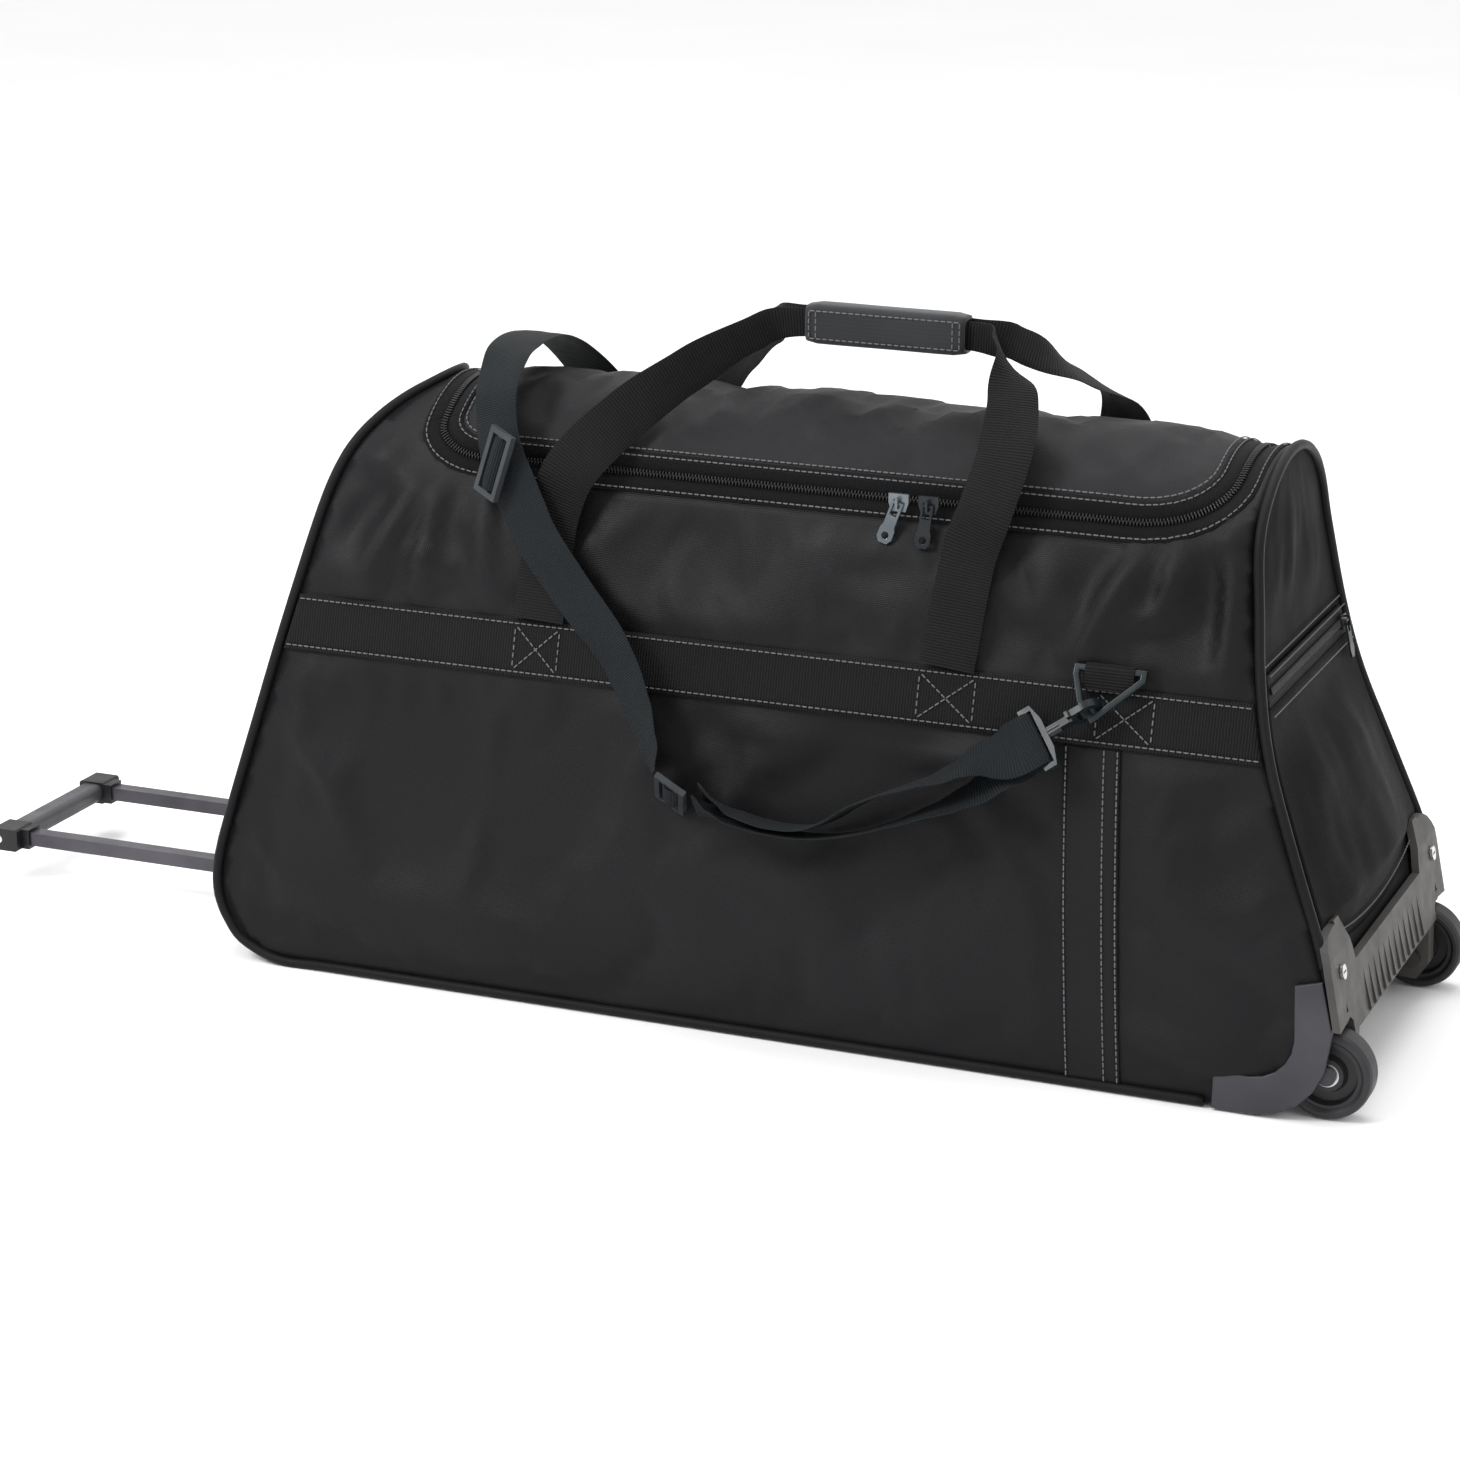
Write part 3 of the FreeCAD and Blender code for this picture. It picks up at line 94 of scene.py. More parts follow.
def section(s):
    """(y, z, normal) at arc length s round the bag from the crown; negative is the front."""
    a = min(abs(s), BASE_S)
    if a <= SHOULDER_S:
        turn = a / CROWN_R
        out, up = math.sin(turn), math.cos(turn)
        y, z = CROWN_R * out, CROWN_Z + CROWN_R * up
    else:
        turn = SIDE_START - (a - SHOULDER_S) / SIDE_R
        out, up = math.cos(turn), math.sin(turn)
        y, z = SIDE_X + SIDE_R * out, SIDE_Z + SIDE_R * up
    side = -1 if s < 0 else 1
    return side * y, z, Vector((0, side * out, up))


def s_at(z):
    """Arc length from the crown down to height z."""
    if z >= SHOULDER:
        return CROWN_R * math.acos(min(1, (z - CROWN_Z) / CROWN_R))
    return SHOULDER_S + SIDE_R * (SIDE_START - math.asin((z - SIDE_Z) / SIDE_R))


def half_depth(z):
    return section(s_at(min(z, CROWN)))[0]


def arc_points(a, b, c, count=7):
    """Points on the arc from a through b to c, both ends included."""
    x, y, r = circle(a, b, c)
    turns = [math.atan2(p[1] - y, p[0] - x) for p in (a, b, c)]
    for k in (1, 2):
        turns[k] = turns[k - 1] + math.remainder(turns[k] - turns[k - 1], 2 * math.pi)
    steps = [turns[0] + (turns[2] - turns[0]) * i / (count - 1) for i in range(count)]
    return [(x + r * math.cos(turn), y + r * math.sin(turn)) for turn in steps]


LEFT_END = (
    arc_points((-0.252, 0), (-0.288, 0.018), (-0.301, 0.073))
    + [(-0.274, 0.174), (-0.252, 0.266)]
    + arc_points((-0.236, 0.335), (-0.206, 0.396), (-0.136, 0.432))
)
RIGHT_END = arc_points((0.467, 0), (0.501, 0.019), (0.512, 0.055)) + [
    (0.501, 0.109), (0.481, 0.158), (0.452, 0.231), (0.441, 0.280), (0.430, 0.364), (0.430, 0.432),
]
END_EASE = 0.022
SOFT_TOP_Z, SOFT_TOP_REACH = 0.31, 0.10
SOFT_LEFT_X, SOFT_LEFT_REACH, LEFT_SINK = -0.10, 0.08, 0.0062
SOFT_RIGHT_X, SOFT_RIGHT_REACH, RIGHT_SINK = 0.33, 0.09, 0.0068
RIGHT_SPREAD = 0.11


def along(outline, z):
    for (x0, z0), (x1, z1) in zip(outline, outline[1:]):
        if z <= z1:
            return x0 + (x1 - x0) * max(0, (z - z0) / (z1 - z0))
    return outline[-1][0]


def end_x(outline, z):
    """X of an end of the bag at height z, with the outline's corners eased."""
    ease = min(END_EASE, z)
    return sum(along(outline, z + ease * k / 4) for k in range(-4, 5)) / 9


def left_x(z):
    return end_x(LEFT_END, z)


def right_x(z):
    return end_x(RIGHT_END, z)


def eased(value):
    """0 below 0, 1 above 1, and a smooth rise between."""
    t = min(1.0, max(0.0, value))
    return t * t * (3 - 2 * t)


def held(distance, reach=0.03):
    """0 at a seam, rising to 1 a little way from it."""
    return eased(distance / reach)


def settle(point):
    """The soft top sinks a little at both ends of the bag, and is broader at the right end."""
    high = eased((point.z - SOFT_TOP_Z) / SOFT_TOP_REACH)
    left = eased((SOFT_LEFT_X - point.x) / SOFT_LEFT_REACH)
    right = eased((point.x - SOFT_RIGHT_X) / SOFT_RIGHT_REACH)
    point.z -= high * (LEFT_SINK * left + RIGHT_SINK * right)
    point.y *= 1 + RIGHT_SPREAD * right * high
    return point


def on_bag(x, s, lift):
    """A point that stands lift off the bag's skin, and its normal."""
    y, z, normal = section(s)
    return settle(Vector((x, y, z)) + normal * lift), normal


# ---------------------------------------------------------------- materials
MATERIALS = {}


def new_material(name):
    material = bpy.data.materials.new(name)
    material.use_nodes = True
    MATERIALS[name] = material
    tree = material.node_tree
    return material, tree, tree.nodes["Principled BSDF"]


def set_inputs(made, **values):
    """Sets a node's inputs. An underscore in a name stands for a space."""
    for key, value in values.items():
        made.inputs[key.replace("_", " ")].default_value = value


def node(tree, kind, **values):
    """A shader node with its input values and settings."""
    made = tree.nodes.new(kind)
    for key, value in values.items():
        if key in made.inputs:
            made.inputs[key].default_value = value
        else:
            setattr(made, key, value)
    return made


def ramp(tree, source, low, high, stops=(0.0, 1.0)):
    """Turns a 0 to 1 value into a colour between low and high."""
    made = tree.nodes.new("ShaderNodeValToRGB")
    for element, colour, place in zip(made.color_ramp.elements, (low, high), stops):
        element.color = (*colour, 1)
        element.position = place
    tree.links.new(source, made.inputs["Fac"])
    return made.outputs["Color"]


def math_node(tree, operation, *values):
    made = node(tree, "ShaderNodeMath", operation=operation)
    for socket, value in zip(made.inputs, values):
        if isinstance(value, (int, float)):
            socket.default_value = value
        else:
            tree.links.new(value, socket)
    return made.outputs[0]


def weave_place(tree):
    """Pattern coordinates from a piece's own weave attribute, in metres."""
    return node(tree, "ShaderNodeAttribute", attribute_name="weave").outputs["Vector"]


def frame_place(tree):
    """Pattern coordinates from a piece's place in the frame, in metres."""
    return node(tree, "ShaderNodeTexCoord").outputs["Object"]


def noise_at(tree, place, scale, detail, stretch=None):
    if stretch:
        mapping = node(tree, "ShaderNodeMapping", Scale=stretch)
        tree.links.new(place, mapping.inputs["Vector"])
        place = mapping.outputs["Vector"]
    made = node(tree, "ShaderNodeTexNoise", Scale=scale, Detail=detail)
    tree.links.new(place, made.inputs["Vector"])
    return made.outputs["Fac"]


def ribs(tree, place, pitch, direction, distortion):
    """Parallel ribs, one each pitch metres, as a 0 to 1 value. A wave's own pitch is 2 pi / 20."""
    made = node(tree, "ShaderNodeTexWave", Scale=math.pi / 10 / pitch, Distortion=distortion,
                bands_direction=direction)
    tree.links.new(place, made.inputs["Vector"])
    return made.outputs["Fac"]


def bump(tree, shader, layers):
    """Stacks height layers, (value, distance in metres, strength), into the shader's normal."""
    normal = None
    for height, distance, strength in layers:
        made = node(tree, "ShaderNodeBump", Strength=strength, Distance=distance)
        tree.links.new(height, made.inputs["Height"])
        if normal:
            tree.links.new(normal, made.inputs["Normal"])
        normal = made.outputs["Normal"]
    tree.links.new(normal, shader.inputs["Normal"])


def cloth_material(name, dark, light, pitch, rough=0.50, sheen=0.015, gloss=0.15):
    """Plain-woven polyester: two sets of threads, slow patches of tone and fine creases."""
    material, tree, shader = new_material(name)
    threads, place = weave_place(tree), frame_place(tree)
    warp = ribs(tree, threads, pitch, "X", 0.6)
    weft = ribs(tree, threads, pitch * 1.1, "Y", 0.6)
    weave = math_node(tree, "MULTIPLY", warp, weft)
    patches = noise_at(tree, place, 7.0, 5.0)
    tone = math_node(tree, "ADD", patches, math_node(tree, "MULTIPLY", weave, 0.25))
    tree.links.new(ramp(tree, tone, dark, light, (0.25, 0.95)), shader.inputs["Base Color"])
    worn = noise_at(tree, place, 24.0, 4.0)
    spread = math_node(tree, "MULTIPLY_ADD", worn, 0.24, rough - 0.12)
    tree.links.new(spread, shader.inputs["Roughness"])
    set_inputs(shader, Sheen_Weight=sheen, Sheen_Roughness=0.45, Specular_IOR_Level=gloss)
    wear = noise_at(tree, place, 34.0, 4.0, (1, 1, 0.55))
    bump(tree, shader, [(wear, 0.0012, 0.30), (weave, 0.0003, 0.55)])
    return material


def webbing_material(name, dark, light, rib, rough=0.6):
    """Woven webbing: fine ribs with yarns crossing them. X of the weave runs along the webbing."""
    material, tree, shader = new_material(name)
    threads = weave_place(tree)
    rows = ribs(tree, threads, rib, "X", 0.8)
    yarns = ribs(tree, threads, rib * 0.55, "Y", 0.4)
    weave = math_node(tree, "MULTIPLY", rows, math_node(tree, "ADD", yarns, 0.4))
    patches = noise_at(tree, frame_place(tree), 30.0, 4.0)
    tone = math_node(tree, "ADD", weave, math_node(tree, "MULTIPLY", patches, 0.4))
    tree.links.new(ramp(tree, tone, dark, light, (0.1, 1.0)), shader.inputs["Base Color"])
    rough_map = ramp(tree, weave, (rough + 0.12,) * 3, (rough - 0.1,) * 3)
    tree.links.new(rough_map, shader.inputs["Roughness"])
    set_inputs(shader, Sheen_Weight=0.02, Sheen_Roughness=0.4, Specular_IOR_Level=0.12)
    bump(tree, shader, [(weave, 0.0006, 0.8), (patches, 0.0005, 0.2)])
    return material


def moulded_material(name, dark, light, rough, grain=0.25, scale=900.0, metallic=0.0):
    """Moulded plastic or coated metal: fine grain, patches of tone and rubbed gloss."""
    material, tree, shader = new_material(name)
    place = frame_place(tree)
    patches = noise_at(tree, place, 22.0, 5.0)
    tree.links.new(ramp(tree, patches, dark, light, (0.3, 0.75)), shader.inputs["Base Color"])
    rubbed = noise_at(tree, place, 60.0, 4.0)
    rough_map = ramp(tree, rubbed, (rough - 0.07,) * 3, (rough + 0.08,) * 3, (0.3, 0.7))
    tree.links.new(rough_map, shader.inputs["Roughness"])
    set_inputs(shader, Metallic=metallic, Specular_IOR_Level=0.3)
    bump(tree, shader, [(noise_at(tree, place, scale, 2.0), 0.0002, grain)])
    return material


BODY_CLOTH = cloth_material("body_fabric", (0.0030, 0.0030, 0.0035), (0.0085, 0.0085, 0.0098),
                            0.0011, 0.42)
# The lid's fabric is the body's fabric painted about twice as light: painted light, for the light that falls on
# the bag's top from above.
LID_CLOTH_PAINTED_LIGHT = cloth_material("lid_fabric", (0.0080, 0.0080, 0.0088), (0.0190, 0.0190, 0.0208),
                           0.0011, 0.48, 0.01, 0.11)
END_CLOTH = cloth_material("end_fabric", (0.0050, 0.0050, 0.0050), (0.0130, 0.0128, 0.0126),
                           0.0011, 0.5, 0.0, 0.018)
BASE_CLOTH = cloth_material("base_fabric", (0.0040, 0.0040, 0.0043), (0.010, 0.010, 0.0105), 0.0014)
TAPE_CLOTH = webbing_material("zip_tape", (0.0018, 0.0018, 0.002), (0.0060, 0.0060, 0.0066), 0.0012)
PIPING_COVER = cloth_material("piping", (0.0035, 0.0035, 0.004), (0.010, 0.010, 0.011),
                              0.0009, 0.45, 0.01, 0.12)
WEBBING = webbing_material("webbing", (0.0016, 0.0016, 0.0018), (0.0125, 0.0125, 0.0130), 0.0020)
STRAP = webbing_material("strap_webbing", (0.0036, 0.0046, 0.0054), (0.0145, 0.0182, 0.0210), 0.0016)
WRAP = cloth_material("wrap_fabric", (0.0120, 0.0124, 0.0140), (0.0300, 0.0312, 0.0350),
                      0.001, 0.5, 0.2)
THREAD = webbing_material("thread", (0.105, 0.105, 0.110), (0.26, 0.26, 0.27), 0.0008, 0.55)
COIL = moulded_material("coil", (0.0025, 0.0025, 0.003), (0.009, 0.009, 0.010), 0.35, 0.1)
MOULDED = (
    ("black_plastic", (0.004, 0.0045, 0.005), (0.010, 0.0105, 0.0115), 0.42),
    ("cap_plastic", (0.006, 0.006, 0.007), (0.014, 0.014, 0.0155), 0.42),
    ("ring_metal", (0.0045, 0.0075, 0.009), (0.0115, 0.0175, 0.0205), 0.3, 0.1),
    ("slider_metal", (0.085, 0.100, 0.110), (0.19, 0.215, 0.235), 0.3, 0.12, 700.0, 0.75),
    ("tube_metal", (0.050, 0.047, 0.056), (0.080, 0.076, 0.088), 0.36, 0.1, 900.0, 0.35),
    ("grip_plastic", (0.045, 0.043, 0.049), (0.072, 0.070, 0.078), 0.42, 0.3),
    ("zinc", (0.45, 0.45, 0.46), (0.72, 0.72, 0.73), 0.25, 0.15, 500.0, 1.0),
    ("board", (0.03, 0.03, 0.03), (0.05, 0.05, 0.05), 0.6, 0.4),
    ("tyre", (0.012, 0.012, 0.0135), (0.028, 0.028, 0.031), 0.48, 0.35, 600.0),
    ("hub_plastic", (0.012, 0.012, 0.0135), (0.024, 0.024, 0.026), 0.4),
    ("bearing_steel", (0.4, 0.4, 0.4), (0.6, 0.6, 0.6), 0.3, 0.1, 500.0, 1.0),
    ("housing_plastic", (0.036, 0.0335, 0.032), (0.060, 0.056, 0.053), 0.5),
    ("guard_plastic", (0.026, 0.026, 0.031), (0.041, 0.041, 0.048), 0.45),
    ("axle_steel", (0.030, 0.030, 0.032), (0.075, 0.075, 0.080), 0.35, 0.15, 500.0, 0.8),
    ("glide_plastic", (0.014, 0.016, 0.018), (0.045, 0.050, 0.055), 0.34),
    ("dark_pull", (0.010, 0.012, 0.014), (0.030, 0.034, 0.038), 0.32, 0.12, 700.0, 0.5),
)
for row in MOULDED:
    moulded_material(*row)

# A part takes the material named after its slot, apart from these.
NODE_MATERIALS = {
    "tri_glides": "glide_plastic",
    "zip_pull_right": "dark_pull",
    "zip_slider_right": "dark_pull",
    "pocket_pull": "dark_pull",
    "pocket_slider": "dark_pull",
    "axles": "axle_steel",
}
for part in frame["record"]["subparts"]:
    slots = frame["nodes"][part["node"]].data.materials
    slots.clear()
    slots.append(MATERIALS[NODE_MATERIALS.get(part["node"], part["material_slot"])])


# ---------------------------------------------------------------- mesh helpers
def mesh_piece(name, points, faces, material, weave=None, sharp=0.9):
    """A smooth-shaded mesh. weave holds each vertex's pattern coordinates in metres."""
    mesh = bpy.data.meshes.new(name)
    mesh.from_pydata([tuple(p) for p in points], [], faces)
    if weave:
        attribute = mesh.attributes.new("weave", "FLOAT_VECTOR", "POINT")
        attribute.data.foreach_set("vector", [v for w in weave for v in (w[0], w[1], 0.0)])
    mesh.validate()
    mesh.materials.append(material)
    mesh.shade_smooth()
    if sharp:
        mesh.set_sharp_from_angle(angle=sharp)
    piece = bpy.data.objects.new(name, mesh)
    bpy.context.scene.collection.objects.link(piece)
    return piece


def modify(piece, kind, **settings):
    """Adds a modifier and applies it, so that the piece's mesh is final."""
    modifier = piece.modifiers.new(kind.title(), kind)
    for key, value in settings.items():
        setattr(modifier, key, value)
    apply_modifiers(piece)
    return piece


def apply_modifiers(piece):
    graph = bpy.context.evaluated_depsgraph_get()
    mesh = bpy.data.meshes.new_from_object(piece.evaluated_get(graph))
    old = piece.data
    piece.modifiers.clear()
    piece.data = mesh
    bpy.data.meshes.remove(old)


def thicken(piece, thickness, offset=-1):
    return modify(piece, "SOLIDIFY", thickness=thickness, offset=offset)


def finish_piece(piece, body, replaced=()):
    """Fixes a piece to its body and hides the parts that it replaces."""
    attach(piece, body)
    if replaced:
        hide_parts(*replaced)
    return piece


def grid_faces(rows, columns, keep=None):
    """Quads of a grid of vertices, rows by columns."""
    faces = []
    for i in range(rows - 1):
        for j in range(columns - 1):
            if keep is None or keep(i, j):
                a = i * columns + j
                faces.append((a, a + 1, a + columns + 1, a + columns))
    return faces


def sheet(name, rows, columns, place, material):
    """A sheet of quads. place(u, v), each from 0 to 1, gives a point and its pattern coordinates."""
    made = [place(j / (columns - 1), i / (rows - 1)) for i in range(rows) for j in range(columns)]
    points, weave = zip(*made)
    return mesh_piece(name, points, grid_faces(rows, columns), material, weave, 0)


def tube_faces(rings, sides, start=0):
    """Quads round a tube of rings of vertices, and a cap at each end."""
    faces = []
    for first in range(start, start + (rings - 1) * sides, sides):
        for k in range(sides):
            a, b = first + k, first + (k + 1) % sides
            faces.append((a, b, b + sides, a + sides))
    last = start + (rings - 1) * sides
    caps = [tuple(reversed(range(start, start + sides))), tuple(range(last, last + sides))]
    return faces + caps


def smooth_line(points, count):
    """A Catmull-Rom curve through points, resampled to count points at even spacing."""
    ends = [points[0] * 2 - points[1], *points, points[-1] * 2 - points[-2]]
    fine = []
    for p0, p1, p2, p3 in zip(ends, ends[1:], ends[2:], ends[3:]):
        for k in range(16):
            t = k / 16
            fine.append(
                (p1 * 2 + (p2 - p0) * t + (p0 * 2 - p1 * 5 + p2 * 4 - p3) * t * t
                 + (p1 * 3 - p0 - p2 * 3 + p3) * t ** 3) / 2
            )
    return resample([*fine, points[-1]], count)


def lengths(points):
    total = [0.0]
    for a, b in zip(points, points[1:]):
        total.append(total[-1] + (b - a).length)
    return total


def places(total, wanted):
    """(index, share) of each wanted length, in rising order, given a line's running lengths."""
    j = 0
    for want in wanted:
        while j < len(total) - 2 and total[j + 1] < want:
            j += 1
        yield j, min(1, (want - total[j]) / (total[j + 1] - total[j] or 1))


def even(length, count):
    return [length * i / (count - 1) for i in range(count)]


def resample(points, count):
    total = lengths(points)
    return [points[j].lerp(points[j + 1], t) for j, t in places(total, even(total[-1], count))]


def heading(line, i):
    return (line[min(i + 1, len(line) - 1)] - line[max(i - 1, 0)]).normalized()


def square_to(run, direction):
    return (direction - run * direction.dot(run)).normalized()


WEBBING_SECTION = (-1.0, -0.97, -0.6, -0.2, 0.2, 0.6, 0.97, 1.0)


def webbing_strip(name, stations, thickness, material, step=0.004, wrinkle=0.0):
    """Flat webbing along stations of (centre, width direction, width) in millimetres."""
    centres = [Vector(centre) * MM for centre, _, _ in stations]
    total = lengths(centres)
    count = max(8, int(total[-1] / step))
    line = smooth_line(centres, count)
    wanted = even(total[-1], count)
    points, weave = [], []
    for i, (want, (j, t)) in enumerate(zip(wanted, places(total, wanted))):
        t = eased(t)
        (_, side_a, width_a), (_, side_b, width_b) = stations[j:j + 2]
        run = heading(line, i)
        across = square_to(run, Vector(side_a).normalized().lerp(Vector(side_b).normalized(), t))
        width = (width_a * (1 - t) + width_b * t) * MM
        up = run.cross(across)
        for face, section_row in ((1, WEBBING_SECTION), (-1, reversed(WEBBING_SECTION))):
            for v in section_row:
                edge = 1 - max(0, (abs(v) - 0.9) / 0.1) * 0.75
                rise = wrinkle * noise.noise(Vector((want * 28, v * 1.5, 3)))
                offset = up * (face * thickness / 2 * edge + rise)
                points.append(line[i] + across * (v * width / 2) + offset)
                weave.append((want, v * width / 2))
    faces = tube_faces(count, 2 * len(WEBBING_SECTION))
    return mesh_piece(name, points, faces, material, weave, 0.8)


CORD_SIDES = 10


def cord(name, line, radius, material):
    """A round cord along a line of points."""
    points, weave = [], []
    total = lengths(line)
    across = Y_AXIS
    for i, centre in enumerate(line):
        run = heading(line, i)
        across = square_to(run, across)
        up = run.cross(across)
        for k in range(CORD_SIDES):
            turn = 2 * math.pi * k / CORD_SIDES
            points.append(centre + across * (radius * math.cos(turn)) + up * (radius * math.sin(turn)))
            weave.append((total[i], radius * turn))
    return mesh_piece(name, points, tube_faces(len(line), CORD_SIDES), material, weave, 0)


def rod(mesh, centre, axes, rings, start_at, girth):
    """Adds a six-sided rod to (points, faces, weave). A ring is (place, size, size) on the axes."""
    points, faces, weave = mesh
    faces += tube_faces(len(rings), 6, len(points))
    for place, wide_by, tall_by in rings:
        for k in range(6):
            turn = math.pi * k / 3
            points.append(centre + axes[0] * place + axes[1] * (wide_by * math.cos(turn))
                          + axes[2] * (tall_by * math.sin(turn)))
            weave.append((start_at + place, turn * girth))


def rods_piece(name, mesh, material, body):
    points, faces, weave = mesh
    return finish_piece(mesh_piece(name, points, faces, material, weave, 0), body)


STITCH_LENGTH = 0.0037
STITCH_GAP = 0.0009
STITCH_RADIUS = 0.00050


STITCH_RINGS = [
    (place * STITCH_LENGTH, size * STITCH_RADIUS, size * STITCH_RADIUS)
    for place, size in ((-0.5, 0.35), (-0.36, 1.0), (0.36, 1.0), (0.5, 0.35))
]


def stitches(name, lines, body, lift=0.0002):
    """Rows of stitches in one piece. A line is a list of (point, normal)."""
    mesh = [], [], []
    for line in lines:
        total = lengths([p for p, _ in line])
        count = int(total[-1] / (STITCH_LENGTH + STITCH_GAP))
        wanted = [(i + 0.5) * total[-1] / count for i in range(count)]
        for want, (j, t) in zip(wanted, places(total, wanted)):
            (a, normal_a), (b, normal_b) = line[j:j + 2]
            run = (b - a).normalized()
            normal = square_to(run, normal_a.lerp(normal_b, t))
            centre = a.lerp(b, t) + normal * lift
            rod(mesh, centre, (run, run.cross(normal), normal), STITCH_RINGS, want, STITCH_RADIUS)
    return rods_piece(name, mesh, THREAD, body)


# ---------------------------------------------------------------- wrinkles
FOLD_FADE = 0.2


def fold(x, z, x0, z0, x1, z1, width, height):
    """One soft ridge along the line from (x0, z0) to (x1, z1), fading at its ends."""
    dx, dz = x1 - x0, z1 - z0
    size = math.hypot(dx, dz)
    t = ((x - x0) * dx + (z - z0) * dz) / size ** 2
    if not -FOLD_FADE < t < 1 + FOLD_FADE:
        return 0.0
    off = ((x - x0) * dz - (z - z0) * dx) / size
    fade = math.sin(math.pi * (t + FOLD_FADE) / (1 + 2 * FOLD_FADE))
    return height * fade * math.exp(-((off / width) ** 2))


FRONT_FOLDS = [
    (-0.185, 0.352, -0.238, 0.285, 0.011, -0.0035), (-0.165, 0.350, -0.203, 0.270, 0.011, 0.0042),
    (-0.222, 0.330, -0.236, 0.275, 0.009, 0.0032), (-0.148, 0.352, -0.158, 0.272, 0.009, 0.0036),
    (-0.118, 0.350, -0.104, 0.275, 0.009, 0.0030), (-0.215, 0.372, -0.176, 0.345, 0.010, 0.0030),
    (-0.180, 0.300, -0.130, 0.292, 0.009, 0.0024), (0.358, 0.356, 0.322, 0.284, 0.0095, 0.0052),
    (0.381, 0.358, 0.373, 0.308, 0.0080, 0.0050), (0.373, 0.310, 0.350, 0.306, 0.0070, 0.0030),
    (0.418, 0.358, 0.422, 0.266, 0.0085, 0.0052), (0.400, 0.345, 0.404, 0.290, 0.0080, -0.0038),
    (0.430, 0.385, 0.400, 0.362, 0.0090, 0.0034), (0.300, 0.352, 0.290, 0.300, 0.0140, 0.0020),
    (-0.270, 0.190, -0.120, 0.100, 0.030, 0.0030), (-0.250, 0.060, -0.050, 0.045, 0.022, 0.0030),
    (0.000, 0.200, 0.180, 0.140, 0.028, 0.0026), (-0.080, 0.140, 0.160, 0.060, 0.035, 0.0026),
    (0.380, 0.200, 0.440, 0.060, 0.020, 0.0035), (0.370, 0.045, 0.455, 0.028, 0.011, 0.0042),
    (0.385, 0.120, 0.470, 0.070, 0.016, -0.0028), (0.090, 0.215, 0.330, 0.205, 0.010, 0.0014),
]


def wrinkle(x, s):
    """How far the cloth stands off its smooth form, before it is held at its seams."""
    slow = noise.noise(Vector((x * 6, s * 7, 1.7))) * 0.0026
    middle = noise.noise(Vector((x * 15, s * 13, 9.1))) * 0.0015
    fine = noise.noise(Vector((x * 42 + s * 20, s * 36, 4.4))) * 0.0005
    return slow + middle + fine


ABOVE_BELT_FOLDS = 2.3
BELOW_BELT_FOLDS = 1.2
BACK_FOLDS = 0.6


def creases(x, s):
    """The long folds of the front, and weaker ones on the back."""
    z = section(s)[1]
    strength = ABOVE_BELT_FOLDS if z > BELT_HIGH else BELOW_BELT_FOLDS
    return sum(fold(x, z, *f) for f in FRONT_FOLDS) * strength * (1 if s < 0 else BACK_FOLDS)


# ---------------------------------------------------------------- panels cut from the skin
PANEL_STEP = 0.0075
CLOTH_T = 0.0022


def in_cells(points, size):
    """Points sorted into square cells, so that near ones are found fast."""
    cells = {}
    for p in points:
        cells.setdefault((int(p[0] // size), int(p[1] // size)), []).append(p)
    return cells


def around(p, cells, size):
    """The points in a point's own cell and the eight round it."""
    a, b = int(p[0] // size), int(p[1] // size)
    for i in (a - 1, a, a + 1):
        for j in (b - 1, b, b + 1):
            yield from cells.get((i, j), ())


def region_mesh(boundary, holes):
    """Triangles that fill a closed (x, s) boundary, less its holes."""
    loops = [boundary, *holes]
    flat = [Vector(p) for loop in loops for p in loop]
    rings, start = [], 0
    for loop in loops:
        rings.append(list(range(start, start + len(loop))))
        start += len(loop)
    low = [min(p[k] for p in boundary) for k in (0, 1)]
    high = [max(p[k] for p in boundary) for k in (0, 1)]
    step = PANEL_STEP
    clear = step * 0.45
    inner = []
    for i in range(int((high[1] - low[1]) / step) + 1):
        s = low[1] + i * step
        crossings = [spans(loop, s) for loop in loops]
        for j in range(int((high[0] - low[0]) / step) + 1):
            x = low[0] + (j + 0.5 * (i % 2)) * step
            inside, *holed = [sum(1 for c in cross if c < x) % 2 == 1 for cross in crossings]
            near = min((abs(c - x) for cross in crossings for c in cross), default=1)
            if inside and not any(holed) and near > clear:
                inner.append(Vector((x, s)))
    cells = in_cells(flat, step)
    inner = [p for p in inner if not any((p - q).length < clear for q in around(p, cells, step))]
    made = delaunay_2d_cdt(flat + inner, [], rings, 2, 1e-6)
    return made[0], [tuple(f) for f in made[2]]


def spans(loop, s):
    """Where a closed loop crosses the level s."""
    found = []
    for (x0, s0), (x1, s1) in zip(loop, loop[1:] + loop[:1]):
        if (s0 <= s) != (s1 <= s):
            found.append(x0 + (x1 - x0) * (s - s0) / (s1 - s0))
    return found


def densify(loop):
    """A closed loop with points no more than about a panel step apart."""
    result = []
    for (x0, s0), (x1, s1) in zip(loop, loop[1:] + loop[:1]):
        count = max(1, round(math.hypot(x1 - x0, s1 - s0) / PANEL_STEP))
        result += [(x0 + (x1 - x0) * k / count, s0 + (s1 - s0) * k / count) for k in range(count)]
    return result


ZIP_Z = 0.367
ZIP_LEFT, ZIP_RIGHT = -0.160, 0.408
ZIP_LEFT_ROUND, ZIP_RIGHT_ROUND = 0.042, 0.070
ZIP_CORNER_HEIGHT = 0.72
TAPE = 0.010
SEAM = 0.003
HEM = 0.0035


